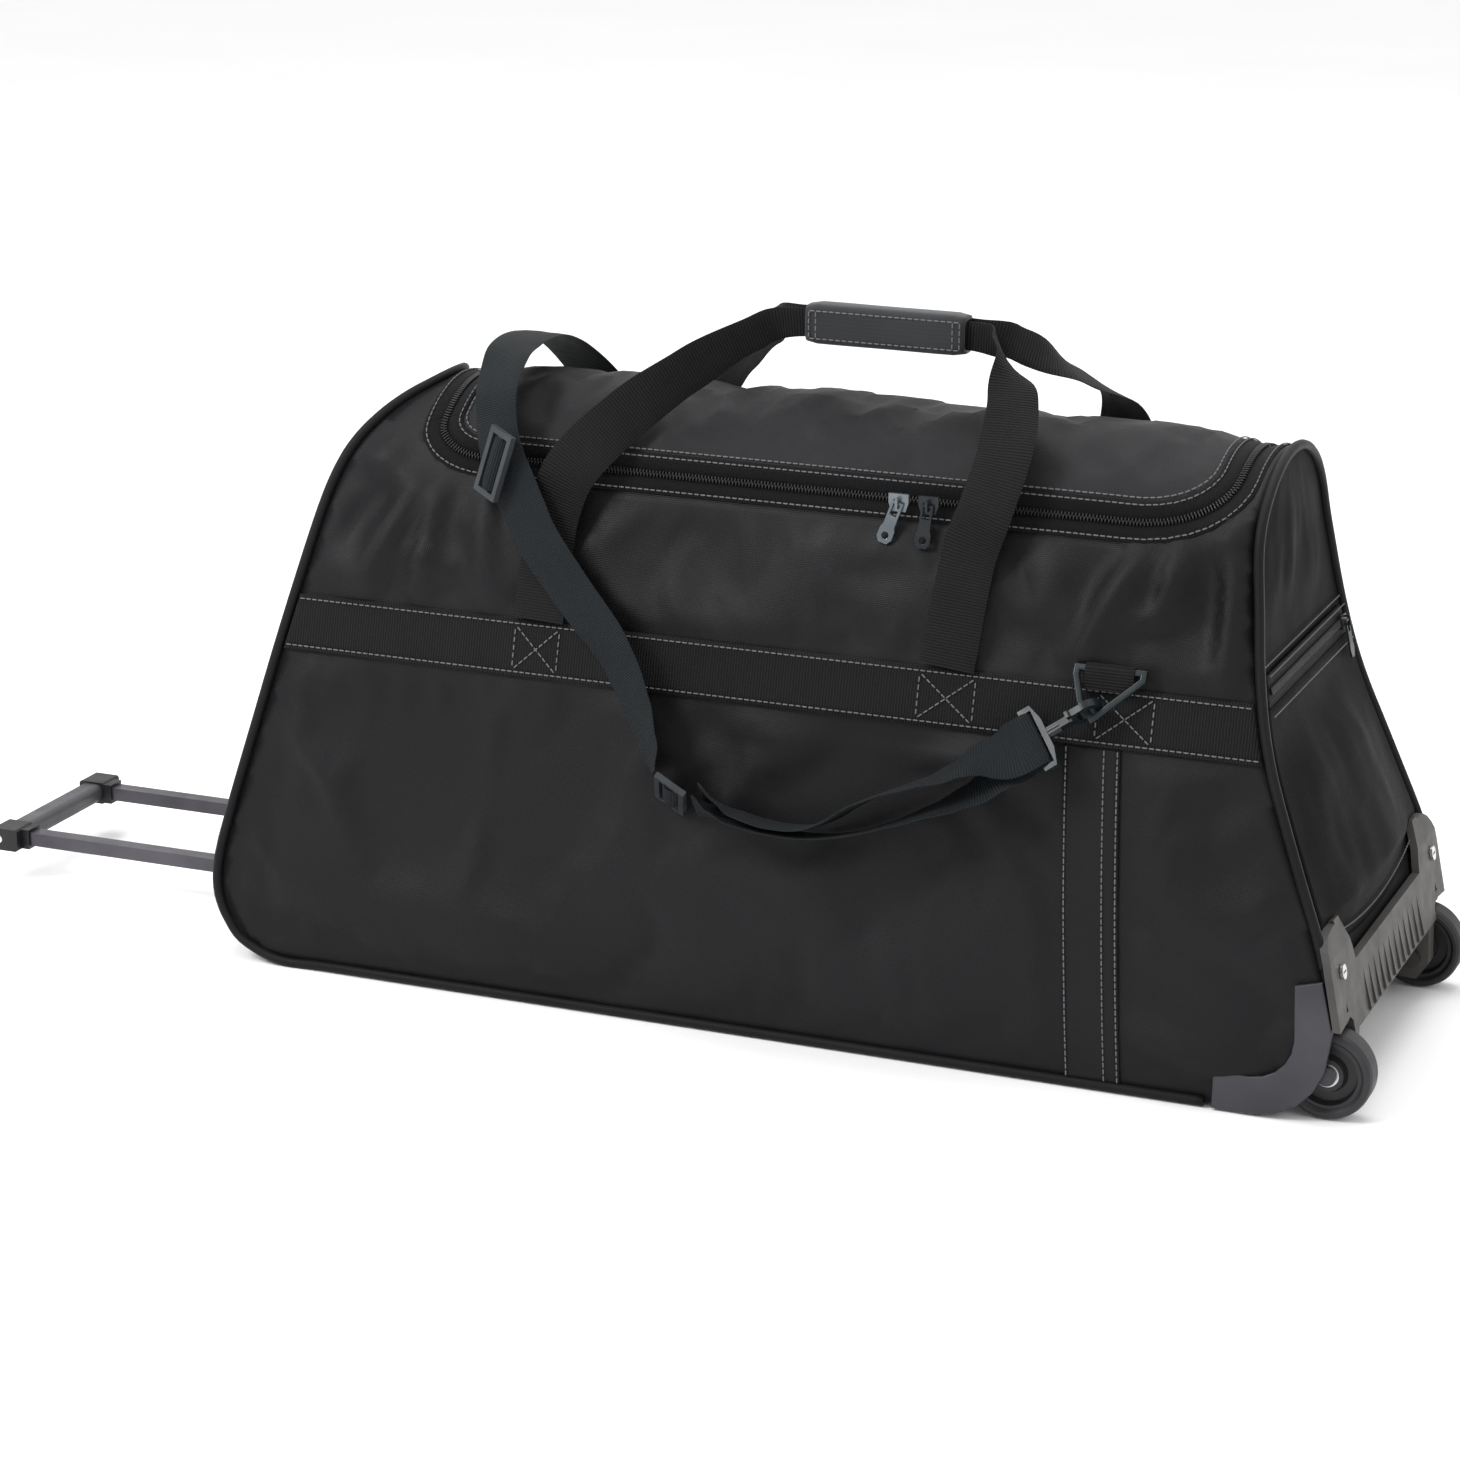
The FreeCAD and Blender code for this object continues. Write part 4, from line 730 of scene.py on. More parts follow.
def zip_loop(grow):
    """The zip's loop as (x, s), grown outwards by grow, right over the bag from front to back."""
    edge = s_at(ZIP_Z) + grow
    left, right = ZIP_LEFT_ROUND + grow, ZIP_RIGHT_ROUND + grow
    front = []
    for centre, size, start in (
        (ZIP_LEFT + ZIP_LEFT_ROUND, left, math.pi),
        (ZIP_RIGHT - ZIP_RIGHT_ROUND, right, 1.5 * math.pi),
    ):
        for k in range(9):
            turn = start + math.pi / 2 * k / 8
            s = -edge + size * ZIP_CORNER_HEIGHT * (1 + math.sin(turn))
            front.append((centre + size * math.cos(turn), s))
    return densify(front + [(x, -s) for x, s in reversed(front)])


def shell_loop():
    """The outer edge of the fabric round the bag, as (x, s)."""
    heights = [HEM + (CROWN - HEM) * (k / 60) for k in range(61)]
    left = [(left_x(z) + SEAM, -s_at(z)) for z in heights]
    left += [(x, -s) for x, s in reversed(left[:-1])]
    right = [(right_x(z) - SEAM, -s_at(z)) for z in heights]
    right += [(x, -s) for x, s in reversed(right[:-1])]
    return densify(right + left[::-1])


def nearest(p, cells, size):
    """How far the nearest of the sorted points is."""
    return min((math.hypot(p[0] - q[0], p[1] - q[1]) for q in around(p, cells, size)), default=1.0)


BELT_LOW, BELT_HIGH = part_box("webbing_belts")[0].z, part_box("webbing_belts")[1].z
BELT_S = (s_at(BELT_HIGH), s_at(BELT_LOW))
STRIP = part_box("front_strip")
STRIP_SHIFT = 0.016
STRIP_WIDTH = 0.038


def strip_x(u, z):
    """X of the front strip at height z, from its left edge at u = 0 to its right edge at u = 1."""
    rise = (z - STRIP[0].z) / (STRIP[1].z - STRIP[0].z)
    return STRIP[1].x - STRIP_WIDTH * (1 - u) - STRIP_SHIFT * rise


def strip_hold(p):
    """0 where the front strip is sewn down, 1 away from it."""
    if p[1] > 0:
        return 1.0
    z = section(p[1])[1]
    away = max(strip_x(0, z) - p[0], p[0] - strip_x(1, z), z - BELT_LOW, 0)
    return held(away, 0.02)


SEAM_CELL = 0.04
UNDER = -0.0004


def cloth_panel(name, material, boundary, holes, pressure, cap):
    """A panel of the skin: cut, wrinkled, then puffed by a short cloth simulation."""
    flat, faces = region_mesh(boundary, holes)
    cells = in_cells([q for loop in (boundary, *holes) for q in loop], SEAM_CELL)
    points, hold, smooth = [], [], []
    for p in flat:
        away = nearest(p, cells, SEAM_CELL)
        free = held(away)
        near_free = held(away, 0.012)
        a = abs(p[1])
        if a > SHOULDER_S:
            belt = max(BELT_S[0] - a, a - BELT_S[1], 0)
            free *= held(belt + 0.006, 0.022)
            near_free *= held(belt, 0.010)
        free *= strip_hold(p)
        lift = wrinkle(p[0], p[1]) * free + creases(p[0], p[1]) * near_free * (0.35 + 0.65 * free)
        if lift < 0:
            lift *= 0.7
        point, normal = on_bag(p[0], p[1], UNDER)
        smooth.append((point, normal))
        points.append(point + normal * lift)
        hold.append(free)
    piece = mesh_piece(name, points, faces, material, flat, 0)
    face = piece.data.polygons[0]
    if face.normal.dot(smooth[face.vertices[0]][1]) < 0:
        piece.data.flip_normals()
    puff(piece, hold, smooth, pressure, cap)
    return thicken(piece, CLOTH_T)


CLOTH_SETTINGS = {
    "vertex_group_mass": "pin",
    "quality": 4,
    "mass": 0.3,
    "tension_stiffness": 20,
    "compression_stiffness": 20,
    "shear_stiffness": 6,
    "bending_stiffness": 0.8,
    "shrink_min": -0.022,
    "use_pressure": True,
}
PUFF_FRAMES = 16


def puff(piece, hold, smooth, pressure, cap):
    """Cloth simulation with the seams pinned and a little slack; the result is capped and applied."""
    start = [v.co.copy() for v in piece.data.vertices]
    group = piece.vertex_groups.new(name="pin")
    for i, free in enumerate(hold):
        group.add([i], 1.0 if free < 0.35 else max(0.0, 0.5 - free * 0.5), "REPLACE")
    cloth = piece.modifiers.new("Cloth", "CLOTH")
    settings = cloth.settings
    for key, value in CLOTH_SETTINGS.items():
        setattr(settings, key, value)
    settings.uniform_pressure_force = pressure
    settings.effector_weights.gravity = 0.2
    cloth.collision_settings.use_collision = False
    cloth.collision_settings.use_self_collision = False
    scene = bpy.context.scene
    cloth.point_cache.frame_start = 1
    cloth.point_cache.frame_end = PUFF_FRAMES
    for frame_number in range(1, PUFF_FRAMES + 1):
        scene.frame_set(frame_number)
    apply_modifiers(piece)
    scene.frame_set(1)
    for vertex, before, free, (_, normal) in zip(piece.data.vertices, start, hold, smooth):
        move = (vertex.co - before).dot(normal)
        vertex.co = before + normal * (max(-cap, min(cap, move)) * held(free, 1.0))
    piece.vertex_groups.clear()


shell = cloth_panel("bag_shell", BODY_CLOTH, shell_loop(), [zip_loop(TAPE)], pressure=0.5, cap=0.0036)
finish_piece(shell, "bag", ("front_panel", "back_panel", "top_gusset"))
lid = cloth_panel("lid_cloth", LID_CLOTH_PAINTED_LIGHT, zip_loop(-TAPE), [], pressure=0.6, cap=0.0026)
finish_piece(lid, "lid", ("lid_panel",))


# ---------------------------------------------------------------- zip
ZIP_STEPS = 420


def zip_ring(grow, count):
    """Evenly spaced points on the zip's loop. Rings of any growth start at the same place."""
    loop = [Vector((*p, 0)) for p in zip_loop(grow)]
    return [(p.x, p.y) for p in resample(loop + loop[:1], count + 1)[:-1]]


def zip_band(name, inner, outer, body, replaced):
    """A strip of tape between two growths of the zip's loop, sunk a little at its teeth."""
    mixes = (0.0, 0.5, 1.0)
    grows = [inner + (outer - inner) * mix for mix in mixes]
    rings = [zip_ring(grow, ZIP_STEPS) for grow in grows]
    points, weave, faces = [], [], []
    total = 0.0
    for i in range(ZIP_STEPS):
        for mix, grow, ring in zip(mixes, grows, rings):
            points.append(on_bag(*ring[i], -0.0030 + 0.0022 * abs(grow) / TAPE)[0])
            weave.append((total, mix * abs(outer - inner)))
        following = (i + 1) % ZIP_STEPS
        total += math.dist(rings[1][i], rings[1][following])
        for a, b in ((i * 3, following * 3), (i * 3 + 1, following * 3 + 1)):
            faces.append((a, a + 1, b + 1, b))
    piece = mesh_piece(name, points, faces, TAPE_CLOTH, weave, 0)
    thicken(piece, 0.0008, 0)
    return finish_piece(piece, body, replaced)


zip_band("zip_tape_body", 0.0012, TAPE + 0.004, "bag", ("body_zip_tape",))
zip_band("zip_tape_lid", -0.0012, -TAPE - 0.004, "lid", ("lid_zip_tape",))


HINGE_HALF = 0.011


def hinge_cover():
    """The fold of cloth along the back that the lid turns on."""
    edge = s_at(ZIP_Z)
    left, right = ZIP_LEFT + ZIP_LEFT_ROUND * 0.8, ZIP_RIGHT - ZIP_RIGHT_ROUND * 0.8

    def at(u, t):
        v = 2 * t - 1
        x = left + (right - left) * u
        point, _ = on_bag(x, edge - v * HINGE_HALF, UNDER - 0.0016 * (1 - v * v))
        return point, (x, v * HINGE_HALF)

    piece = sheet("hinge_cover", 13, 90, at, BODY_CLOTH)
    thicken(piece, 0.0009, 0)
    start, _ = on_bag(0, edge + 0.0035, -0.002)
    end, _ = on_bag(0, edge - 0.0035, -0.002)
    tuple(start)
    tuple(end)
    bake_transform(piece)


hinge_cover()


COIL_PITCH = 0.0024
LID_COIL = ((-0.0016, 0.0004, 0.00054), (-0.0008, 0.00072, 0.0009),
            (0.0008, 0.00072, 0.0009), (0.0016, 0.0004, 0.00054))
POCKET_COIL = ((-0.0026, 0.0008, 0.0005), (-0.0016, 0.0008, 0.0010),
               (0.0016, 0.0008, 0.0010), (0.0026, 0.0008, 0.0005))


def coil(name, turns, rings, body):
    """Zip coil: one small rounded loop at each (centre, heading, normal)."""
    mesh = [], [], []
    for centre, run, normal in turns:
        rod(mesh, centre, (run.cross(normal), run, normal), rings, 0, 0.001)
    return rods_piece(name, mesh, COIL, body)


def lid_turns(grow, phase):
    """Where the lid zip's loops stand on one side of its middle, except along the hinge."""
    loop = zip_loop(grow)
    length = sum(math.dist(a, b) for a, b in zip(loop, loop[1:] + loop[:1]))
    ring = zip_ring(grow, int(length / COIL_PITCH))
    for (x, s), following in zip(ring, ring[1:] + ring[:1]):
        if s <= SHOULDER_S * 0.55:
            here, normal = on_bag(x, s, -0.0012)
            run = (on_bag(*following, -0.0012)[0] - here).normalized()
            yield here + run * (COIL_PITCH * phase), run, normal


coil("zip_coil_body", lid_turns(0.0010, 0.0), LID_COIL, "bag")
coil("zip_coil_lid", lid_turns(-0.0010, 0.5), LID_COIL, "lid")


SEAM_MIDDLE_X = 0.12


def zip_seam(grow, lift):
    """(point, normal) pairs beside the zip: from the back, round the front, to the back again."""
    ring = zip_ring(grow, 500)
    start = max(range(len(ring)), key=lambda i: ring[i][1] * 1000 - abs(ring[i][0] - SEAM_MIDDLE_X))
    return [on_bag(x, s, lift) for x, s in ring[start:] + ring[:start] if s < SHOULDER_S * 0.6]


for name, grow, body, lift in (
    ("zip_seam_body", TAPE + 0.0015, "bag", 0.0004),
    ("zip_seam_lid", -TAPE - 0.0015, "lid", 0.0004),
    ("zip_seam_lid_inner", -TAPE - 0.0065, "lid", 0.0006),
):
    stitches(name, [zip_seam(grow, lift)], body)


# ---------------------------------------------------------------- ends
FOOT_BEND = 0.45
END_OUT = Vector((0.97, 0, 0.24))


def foot_dip(v):
    """How much of its dip the pocket's foot has at v, from -1 to 1 across the bag."""
    return 1 - FOOT_BEND * v * v


def end_panel(name, material, outline_x, out, low, high, rows, columns, bulge, inset=0.0, dip=0.0,
              pin=lambda z: 1.0, hole=None):
    """A fabric end of the bag, from low to high, puffed outwards. Its foot can dip in the middle."""
    points, weave = [], []
    for i in range(rows):
        t = i / (rows - 1)
        z = low + (high - low) * t
        wide = max(half_depth(min(z, CROWN - 0.0005)) - inset, 0.002)
        slope = (outline_x(min(z + 0.004, high)) - outline_x(max(z - 0.004, low))) / 0.008
        normal = Vector((1, 0, -slope)).normalized() * out
        for j in range(columns):
            v = -1 + 2 * j / (columns - 1)
            rough = noise.noise(Vector((v * 2.2, z * 14, out * 5))) * 0.0030
            rough += noise.noise(Vector((v * 6, z * 30, out * 9))) * 0.0012
            level = z - dip * (1 - t) * foot_dip(v)
            free = held(1 - abs(v), 0.5) * held(min(t, 1 - t), 0.16) * pin(level)
            skin = Vector((outline_x(level), v * wide, level))
            points.append(settle(skin + normal * ((bulge + rough) * free - 0.0005)))
            weave.append((v * wide, level))

    def keep(i, j):
        centre = (points[i * columns + j] + points[(i + 1) * columns + j + 1]) / 2
        return hole is None or not hole(centre)

    piece = mesh_piece(name, points, grid_faces(rows, columns, keep), material, weave, 0)
    if piece.data.polygons[len(piece.data.polygons) // 2].normal.x * out < 0:
        piece.data.flip_normals()
    return thicken(piece, CLOTH_T)


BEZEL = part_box("trolley_bezel")


def through_bezel(p):
    """Inside the hole that the trolley tubes leave by."""
    return abs(p.y) < BEZEL[1].y - 0.006 and BEZEL[0].z + 0.004 < p.z < BEZEL[1].z - 0.004


left_end = end_panel("left_end_cloth", END_CLOTH, left_x, -1, 0.001, CROWN, rows=74, columns=56,
                     bulge=0.006, hole=through_bezel)
finish_piece(left_end, "bag", ("left_end_panel",))

RIGHT_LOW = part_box("right_end_panel")[0].z
POCKET_LOW, POCKET_HIGH = (corner.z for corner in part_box("end_pocket_panel"))
POCKET_ZIP_LOW, POCKET_ZIP_HIGH = (corner.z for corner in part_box("end_pocket_zip_tape"))
POCKET_DIP = 0.030
FOOT_HEM = 0.008


def right_pin(z):
    """The right end is free above the pocket's zip, and lies back behind the pocket."""
    return held(z - POCKET_ZIP_HIGH - 0.010, 0.05) - 0.35 * (z < POCKET_ZIP_HIGH)


right_end = end_panel("right_end_cloth", END_CLOTH, right_x, 1, RIGHT_LOW, CROWN, rows=76,
                      columns=48, bulge=0.0045, pin=right_pin)
finish_piece(right_end, "bag", ("right_end_panel",))


def pocket_x(z):
    """The pocket stands off the end, and is drawn in at its foot, behind the housing's ears."""
    return right_x(z) + 0.0030 - 0.0040 * eased((POCKET_LOW - z) / 0.012)


pocket = end_panel("end_pocket_cloth", END_CLOTH, pocket_x, 1, POCKET_LOW, POCKET_HIGH, rows=40,
                   columns=56, bulge=0.008, inset=0.006, dip=POCKET_DIP,
                   pin=lambda z: held(POCKET_HIGH - z - 0.014, 0.05))
finish_piece(pocket, "bag", ("end_pocket_panel",))
pocket_tape = end_panel("pocket_zip_strip", TAPE_CLOTH, lambda z: right_x(z) + 0.0024, 1,
                        POCKET_ZIP_LOW, POCKET_ZIP_HIGH, rows=6, columns=44, bulge=0.0,
                        inset=0.010, pin=lambda z: 0.0)
finish_piece(pocket_tape, "bag", ("end_pocket_zip_tape",))


def end_line(z, inset, lift, count=30):
    """(point, normal) pairs across the right end at height z."""
    wide = half_depth(z) - inset
    return [(Vector((right_x(z) + lift, y - wide, z)), END_OUT) for y in even(2 * wide, count)]


def foot_line():
    """The seam along the pocket's foot, lower in the middle than at the housing's ears."""
    wide = half_depth(POCKET_LOW) - 0.010
    result = []
    for v in (share - 1 for share in even(2, 61)):
        z = POCKET_LOW + FOOT_HEM - POCKET_DIP * foot_dip(v)
        result.append((Vector((pocket_x(z) + 0.0030, v * wide, z)), END_OUT))
    return result


stitches("pocket_seams", [
    end_line(POCKET_ZIP_HIGH + 0.006, inset=0.006, lift=0.0014),
    end_line(POCKET_ZIP_HIGH + 0.0005, inset=0.008, lift=0.0042),
    end_line(POCKET_HIGH - 0.004, inset=0.008, lift=0.0050),
    foot_line(),
], "bag")


def pocket_turns():
    """Where the pocket zip's loops stand."""
    middle = (POCKET_ZIP_LOW + POCKET_ZIP_HIGH) / 2
    path = [p for p, _ in end_line(middle, inset=0.014, lift=0.0030, count=60)]
    spots = resample(path, int(lengths(path)[-1] / COIL_PITCH))
    return [(a, (b - a).normalized(), END_OUT) for a, b in zip(spots, spots[1:])]


coil("pocket_coil", pocket_turns(), POCKET_COIL, "bag")

BASE_LEFT, BASE_RIGHT = (corner.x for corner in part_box("bottom_panel"))


def bottom_at(u, t):
    v = 2 * t - 1
    x = BASE_LEFT - 0.003 + (BASE_RIGHT - BASE_LEFT + 0.003) * u
    free = held(min(u, 1 - u), 0.1) * held(1 - abs(v), 0.2)
    sag = (0.0014 + noise.noise(Vector((x * 14, v * 3, 2))) * 0.001) * free
    return Vector((x, v * (BASE_HALF - 0.0015), 0.0034 - sag)), (x, v * BASE_HALF)


bottom = sheet("bottom_cloth", 30, 70, bottom_at, BASE_CLOTH)
thicken(bottom, 0.0006, 0)
finish_piece(bottom, "bag", ("bottom_panel",))

FLOOR_LOW, FLOOR_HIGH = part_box("floor_panel")
QUILT_TURNS = 52


def floor_at(u, t):
    """The padded floor, quilted in diamonds."""
    v = 2 * t - 1
    x = FLOOR_LOW.x + (FLOOR_HIGH.x - FLOOR_LOW.x) * u
    y = v * (FLOOR_HIGH.y - 0.001)
    quilt = abs(math.sin((x + y) * QUILT_TURNS)) * abs(math.sin((x - y) * QUILT_TURNS))
    free = held(min(u, 1 - u), 0.05) * held(1 - abs(v), 0.12)
    return Vector((x, y, FLOOR_LOW.z + 0.0022 + 0.0022 * quilt ** 0.5 * free)), (x, y)


floor_pad = sheet("floor_pad", 34, 80, floor_at, BASE_CLOTH)
thicken(floor_pad, 0.0015)
finish_piece(floor_pad, "bag", ("floor_panel",))


# ---------------------------------------------------------------- piping
PIPING_R = 0.0034
PIPING_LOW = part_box("right_piping")[0].z
PIPING_FOOT = 0.428


def piping_line(outline_x, out, low, foot=()):
    """A line round an end of the bag, after its run along the base on the front, to the back."""
    line = [Vector((x, -BASE_HALF, 0)) for x in foot]
    for k in range(91):
        z = low + (CROWN - low) * (1 - (1 - k / 90) ** 1.6)
        y, _, normal = section(-s_at(z))
        line.append(Vector((outline_x(z), y, z)) + normal * 0.0008 + X_AXIS * (out * 0.0004))
    line += [Vector((p.x, -p.y, p.z)) for p in reversed(line[:-1])]
    for p in line:
        p.z = max(p.z, PIPING_R + 0.0002)
        settle(p)
    return smooth_line(line[::2] + line[-1:], 460)


base_run = [PIPING_FOOT + (left_x(0) - PIPING_FOOT) * k / 40 for k in range(40)]
for name, line, replaced in (
    ("left_piping_cord", piping_line(left_x, -1, 0.0, base_run), "left_piping"),
    ("right_piping_cord", piping_line(right_x, 1, PIPING_LOW), "right_piping"),
):
    finish_piece(cord(name, line, PIPING_R, PIPING_COVER), "bag", (replaced,))


# ---------------------------------------------------------------- belts and strip on the sides
BAND_LIFT = 0.0004


def skin_band(name, material, side, corners, rows, columns, thickness, waves):
    """A band sewn to the front (side -1) or back. corners gives (x, z) at (u, v), each 0 to 1."""
    def at(u, v):
        x, z = corners(u, v)
        rise = waves * noise.noise(Vector((x * 30, z * 20, side))) * math.sin(math.pi * v)
        return on_bag(x, side * s_at(z), rise + BAND_LIFT)[0], (x, z)

    piece = sheet(name, rows, columns, at, material)
    if piece.data.polygons[0].normal.y * side < 0:
        piece.data.flip_normals()
    return thicken(piece, thickness, 1)


def belt_corners(u, v):
    z = BELT_LOW + (BELT_HIGH - BELT_LOW) * v
    left, right = left_x(z) + 0.005, right_x(z) - 0.005
    return left + (right - left) * u, z


def strip_corners(u, v):
    z = STRIP[0].z + (STRIP[1].z - STRIP[0].z) * v
    return strip_x(u, z), z


BELT_TOP = 0.0026
STITCH_IN = 0.003


def skin_row(side, a, b, lift=BELT_TOP, count=12):
    """(point, normal) pairs over the skin from a to b, which are (x, z)."""
    result = []
    for t in even(1, count):
        x, z = a[0] + (b[0] - a[0]) * t, a[1] + (b[1] - a[1]) * t
        result.append(on_bag(x, side * s_at(z), lift))
    return result


for side, name in ((-1, "belt_front"), (1, "belt_back")):
    belt = skin_band(name, WEBBING, side, belt_corners, rows=7, columns=150, thickness=0.0018,
                     waves=0.0006)
    finish_piece(belt, "bag", ("webbing_belts",))

# Each box is a stitched cross, from its left X to its right X.
for side, name, boxes in (
    (-1, "belt_front_stitches", ((-0.080, -0.047), (0.214, 0.253), (0.337, 0.375))),
    (1, "belt_back_stitches", ((-0.069, -0.033), (0.233, 0.271), (-0.181, -0.145))),
):
    low, high = BELT_LOW + STITCH_IN, BELT_HIGH - STITCH_IN
    lines = [skin_row(side, (left_x(z) + 0.006, z), (right_x(z) - 0.006, z), count=120)
             for z in (low, high)]
    for x0, x1 in boxes:
        lines += [skin_row(side, (x, low + 0.003), (x, high - 0.003)) for x in (x0, x1)]
        for a, b in ((x0 + 0.001, x1 - 0.001), (x1 - 0.001, x0 + 0.001)):
            lines.append(skin_row(side, (a, low + 0.002), (b, high - 0.002)))
    stitches(name, lines, "bag")

strip = skin_band("front_strip_cloth", BODY_CLOTH, -1, strip_corners, rows=60, columns=10,
                  thickness=0.0010, waves=0.0008)
finish_piece(strip, "bag", ("front_strip",))
strip_low, strip_high = STRIP[0].z, STRIP[1].z
stitches("strip_stitches", [
    skin_row(-1, (strip_x(u, strip_low), strip_low + 0.001),
             (strip_x(u, strip_high), strip_high - 0.001), 0.0018, 60)
    for u in (0.04, 0.72, 0.96)
], "bag")


# ---------------------------------------------------------------- carry handles
WIDE = 38
THIN = 0.0019
ALONG = (1, 0, 0)
FRONT_HANDLE = [
    ((-63, -116, 266), ALONG, WIDE), ((-61, -105, 308), ALONG, WIDE),
    ((-57, -98, 343), ALONG, WIDE), ((-45, -94, 372), (1, 0.1, -0.3), WIDE),
    ((-17, -74, 404), (0.8, 0.4, -0.4), 36), ((18, -48, 433), (0.6, 0.6, -0.5), 34),
    ((54, -20, 456), (0.3, 0.4, -0.8), 26), ((86, -5, 465), (0, 0, -1), 20),
    ((208, -5, 465), (0, 0, -1), 20), ((234, -20, 458), (0.4, 0.2, -0.8), 26),
    ((251, -46, 435), (1, 0.1, -0.4), 34), ((256, -76, 404), ALONG, WIDE),
    ((250, -94, 370), ALONG, WIDE), ((240, -99, 335), ALONG, WIDE),
    ((233, -116, 266), ALONG, WIDE),
]
BACK_HANDLE = [
    ((-50, 116, 266), ALONG, WIDE), ((-48, 105, 308), ALONG, WIDE),
    ((-45, 98, 343), ALONG, WIDE), ((-34, 94, 372), (1, -0.1, -0.3), WIDE),
    ((-6, 74, 404), (0.8, -0.4, -0.4), 36), ((26, 48, 433), (0.6, -0.6, -0.5), 34),
    ((58, 20, 456), (0.3, -0.4, -0.8), 26), ((86, 5, 465), (0, 0, -1), 20),
    ((208, 5, 465), (0, 0, -1), 20), ((240, 15, 456), (0.4, -0.2, -0.8), 26),
    ((270, 38, 436), (0.8, -0.4, -0.4), 34), ((292, 66, 415), (0.9, -0.2, -0.3), WIDE),
    ((288, 90, 384), ALONG, WIDE), ((270, 100, 345), ALONG, WIDE),
    ((252, 116, 266), ALONG, WIDE),
]
for name, stations, body, cad in (
    ("front_handle_webbing", FRONT_HANDLE, "front_handle", "front_handle_strap"),
    ("back_handle_webbing", BACK_HANDLE, "back_handle", "back_handle_strap"),
):
    strap = webbing_strip(name, stations, THIN, WEBBING, wrinkle=0.0004)
    finish_piece(strap, body, (cad,))


# ---------------------------------------------------------------- grip wrap
GRIP_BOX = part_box("grip_wrap")


def grip_wrap():
    """A padded wrap round both straps, pressed together."""
    middle = (GRIP_BOX[0] + GRIP_BOX[1]) / 2
    half = (GRIP_BOX[1] - GRIP_BOX[0]) / 2
    rows, ring = 44, 40
    outline = []
    for k in range(ring):
        turn = 2 * math.pi * k / ring
        c, s = math.cos(turn), math.sin(turn)
        y = math.copysign(abs(c) ** 0.42, c) * half.y
        z = math.copysign(abs(s) ** 0.5, s) * half.z
        outline.append((y, z))
    points, weave = [], []
    for i in range(rows):
        t = -1 + 2 * i / (rows - 1)
        ends = 1 - 0.10 * max(0, abs(t) - 0.86) / 0.14
        for k, (y, z) in enumerate(outline):
            dent = 1 - 0.05 * math.cos(t * 5.5) * abs(z) / half.z
            dent += 0.03 * noise.noise(Vector((t * 4, y * 90, z * 90)))
            points.append(middle + Vector((t * half.x, y * ends * dent * 0.96, z * ends)))
            weave.append((t * half.x, k * 0.0022))
    faces = tube_faces(rows, ring)[:-2]
    last, inner = (rows - 1) * ring, rows * ring
    for first in (0, last):
        axis = middle + X_AXIS * (points[first].x - middle.x)
        for k in range(ring):
            points.append(points[first + k] * 0.8 + axis * 0.2)
            weave.append((0, k * 0.002))
    for k in range(ring):
        following = (k + 1) % ring
        faces.append((k, inner + k, inner + following, following))
        faces.append((last + k, last + following, inner + ring + following, inner + ring + k))
    return mesh_piece("grip_wrap_pad", points, faces, WRAP, weave, 0)


finish_piece(grip_wrap(), "front_handle", ("grip_wrap",))


def wrap_row(a, b, count):
    """(point, normal) pairs along the wrap's front from a to b, which are (x, z)."""
    ends = [Vector((x, GRIP_BOX[0].y + 0.0004, z)) for x, z in (a, b)]
    return [(ends[0].lerp(ends[1], t), -Y_AXIS) for t in even(1, count)]


x0, x1 = GRIP_BOX[0].x + 0.003, GRIP_BOX[1].x - 0.003
z0, z1 = GRIP_BOX[0].z + 0.0045, GRIP_BOX[1].z - 0.0045
wrap_rows = [wrap_row((x0, z), (x1, z), 31) for z in (z0, z1)]
wrap_rows += [wrap_row((x, z0), (x, z1), 7) for x in (x0, x0 + 0.005, x1 - 0.005, x1)]
stitches("wrap_stitches", wrap_rows, "front_handle", 0.0001)


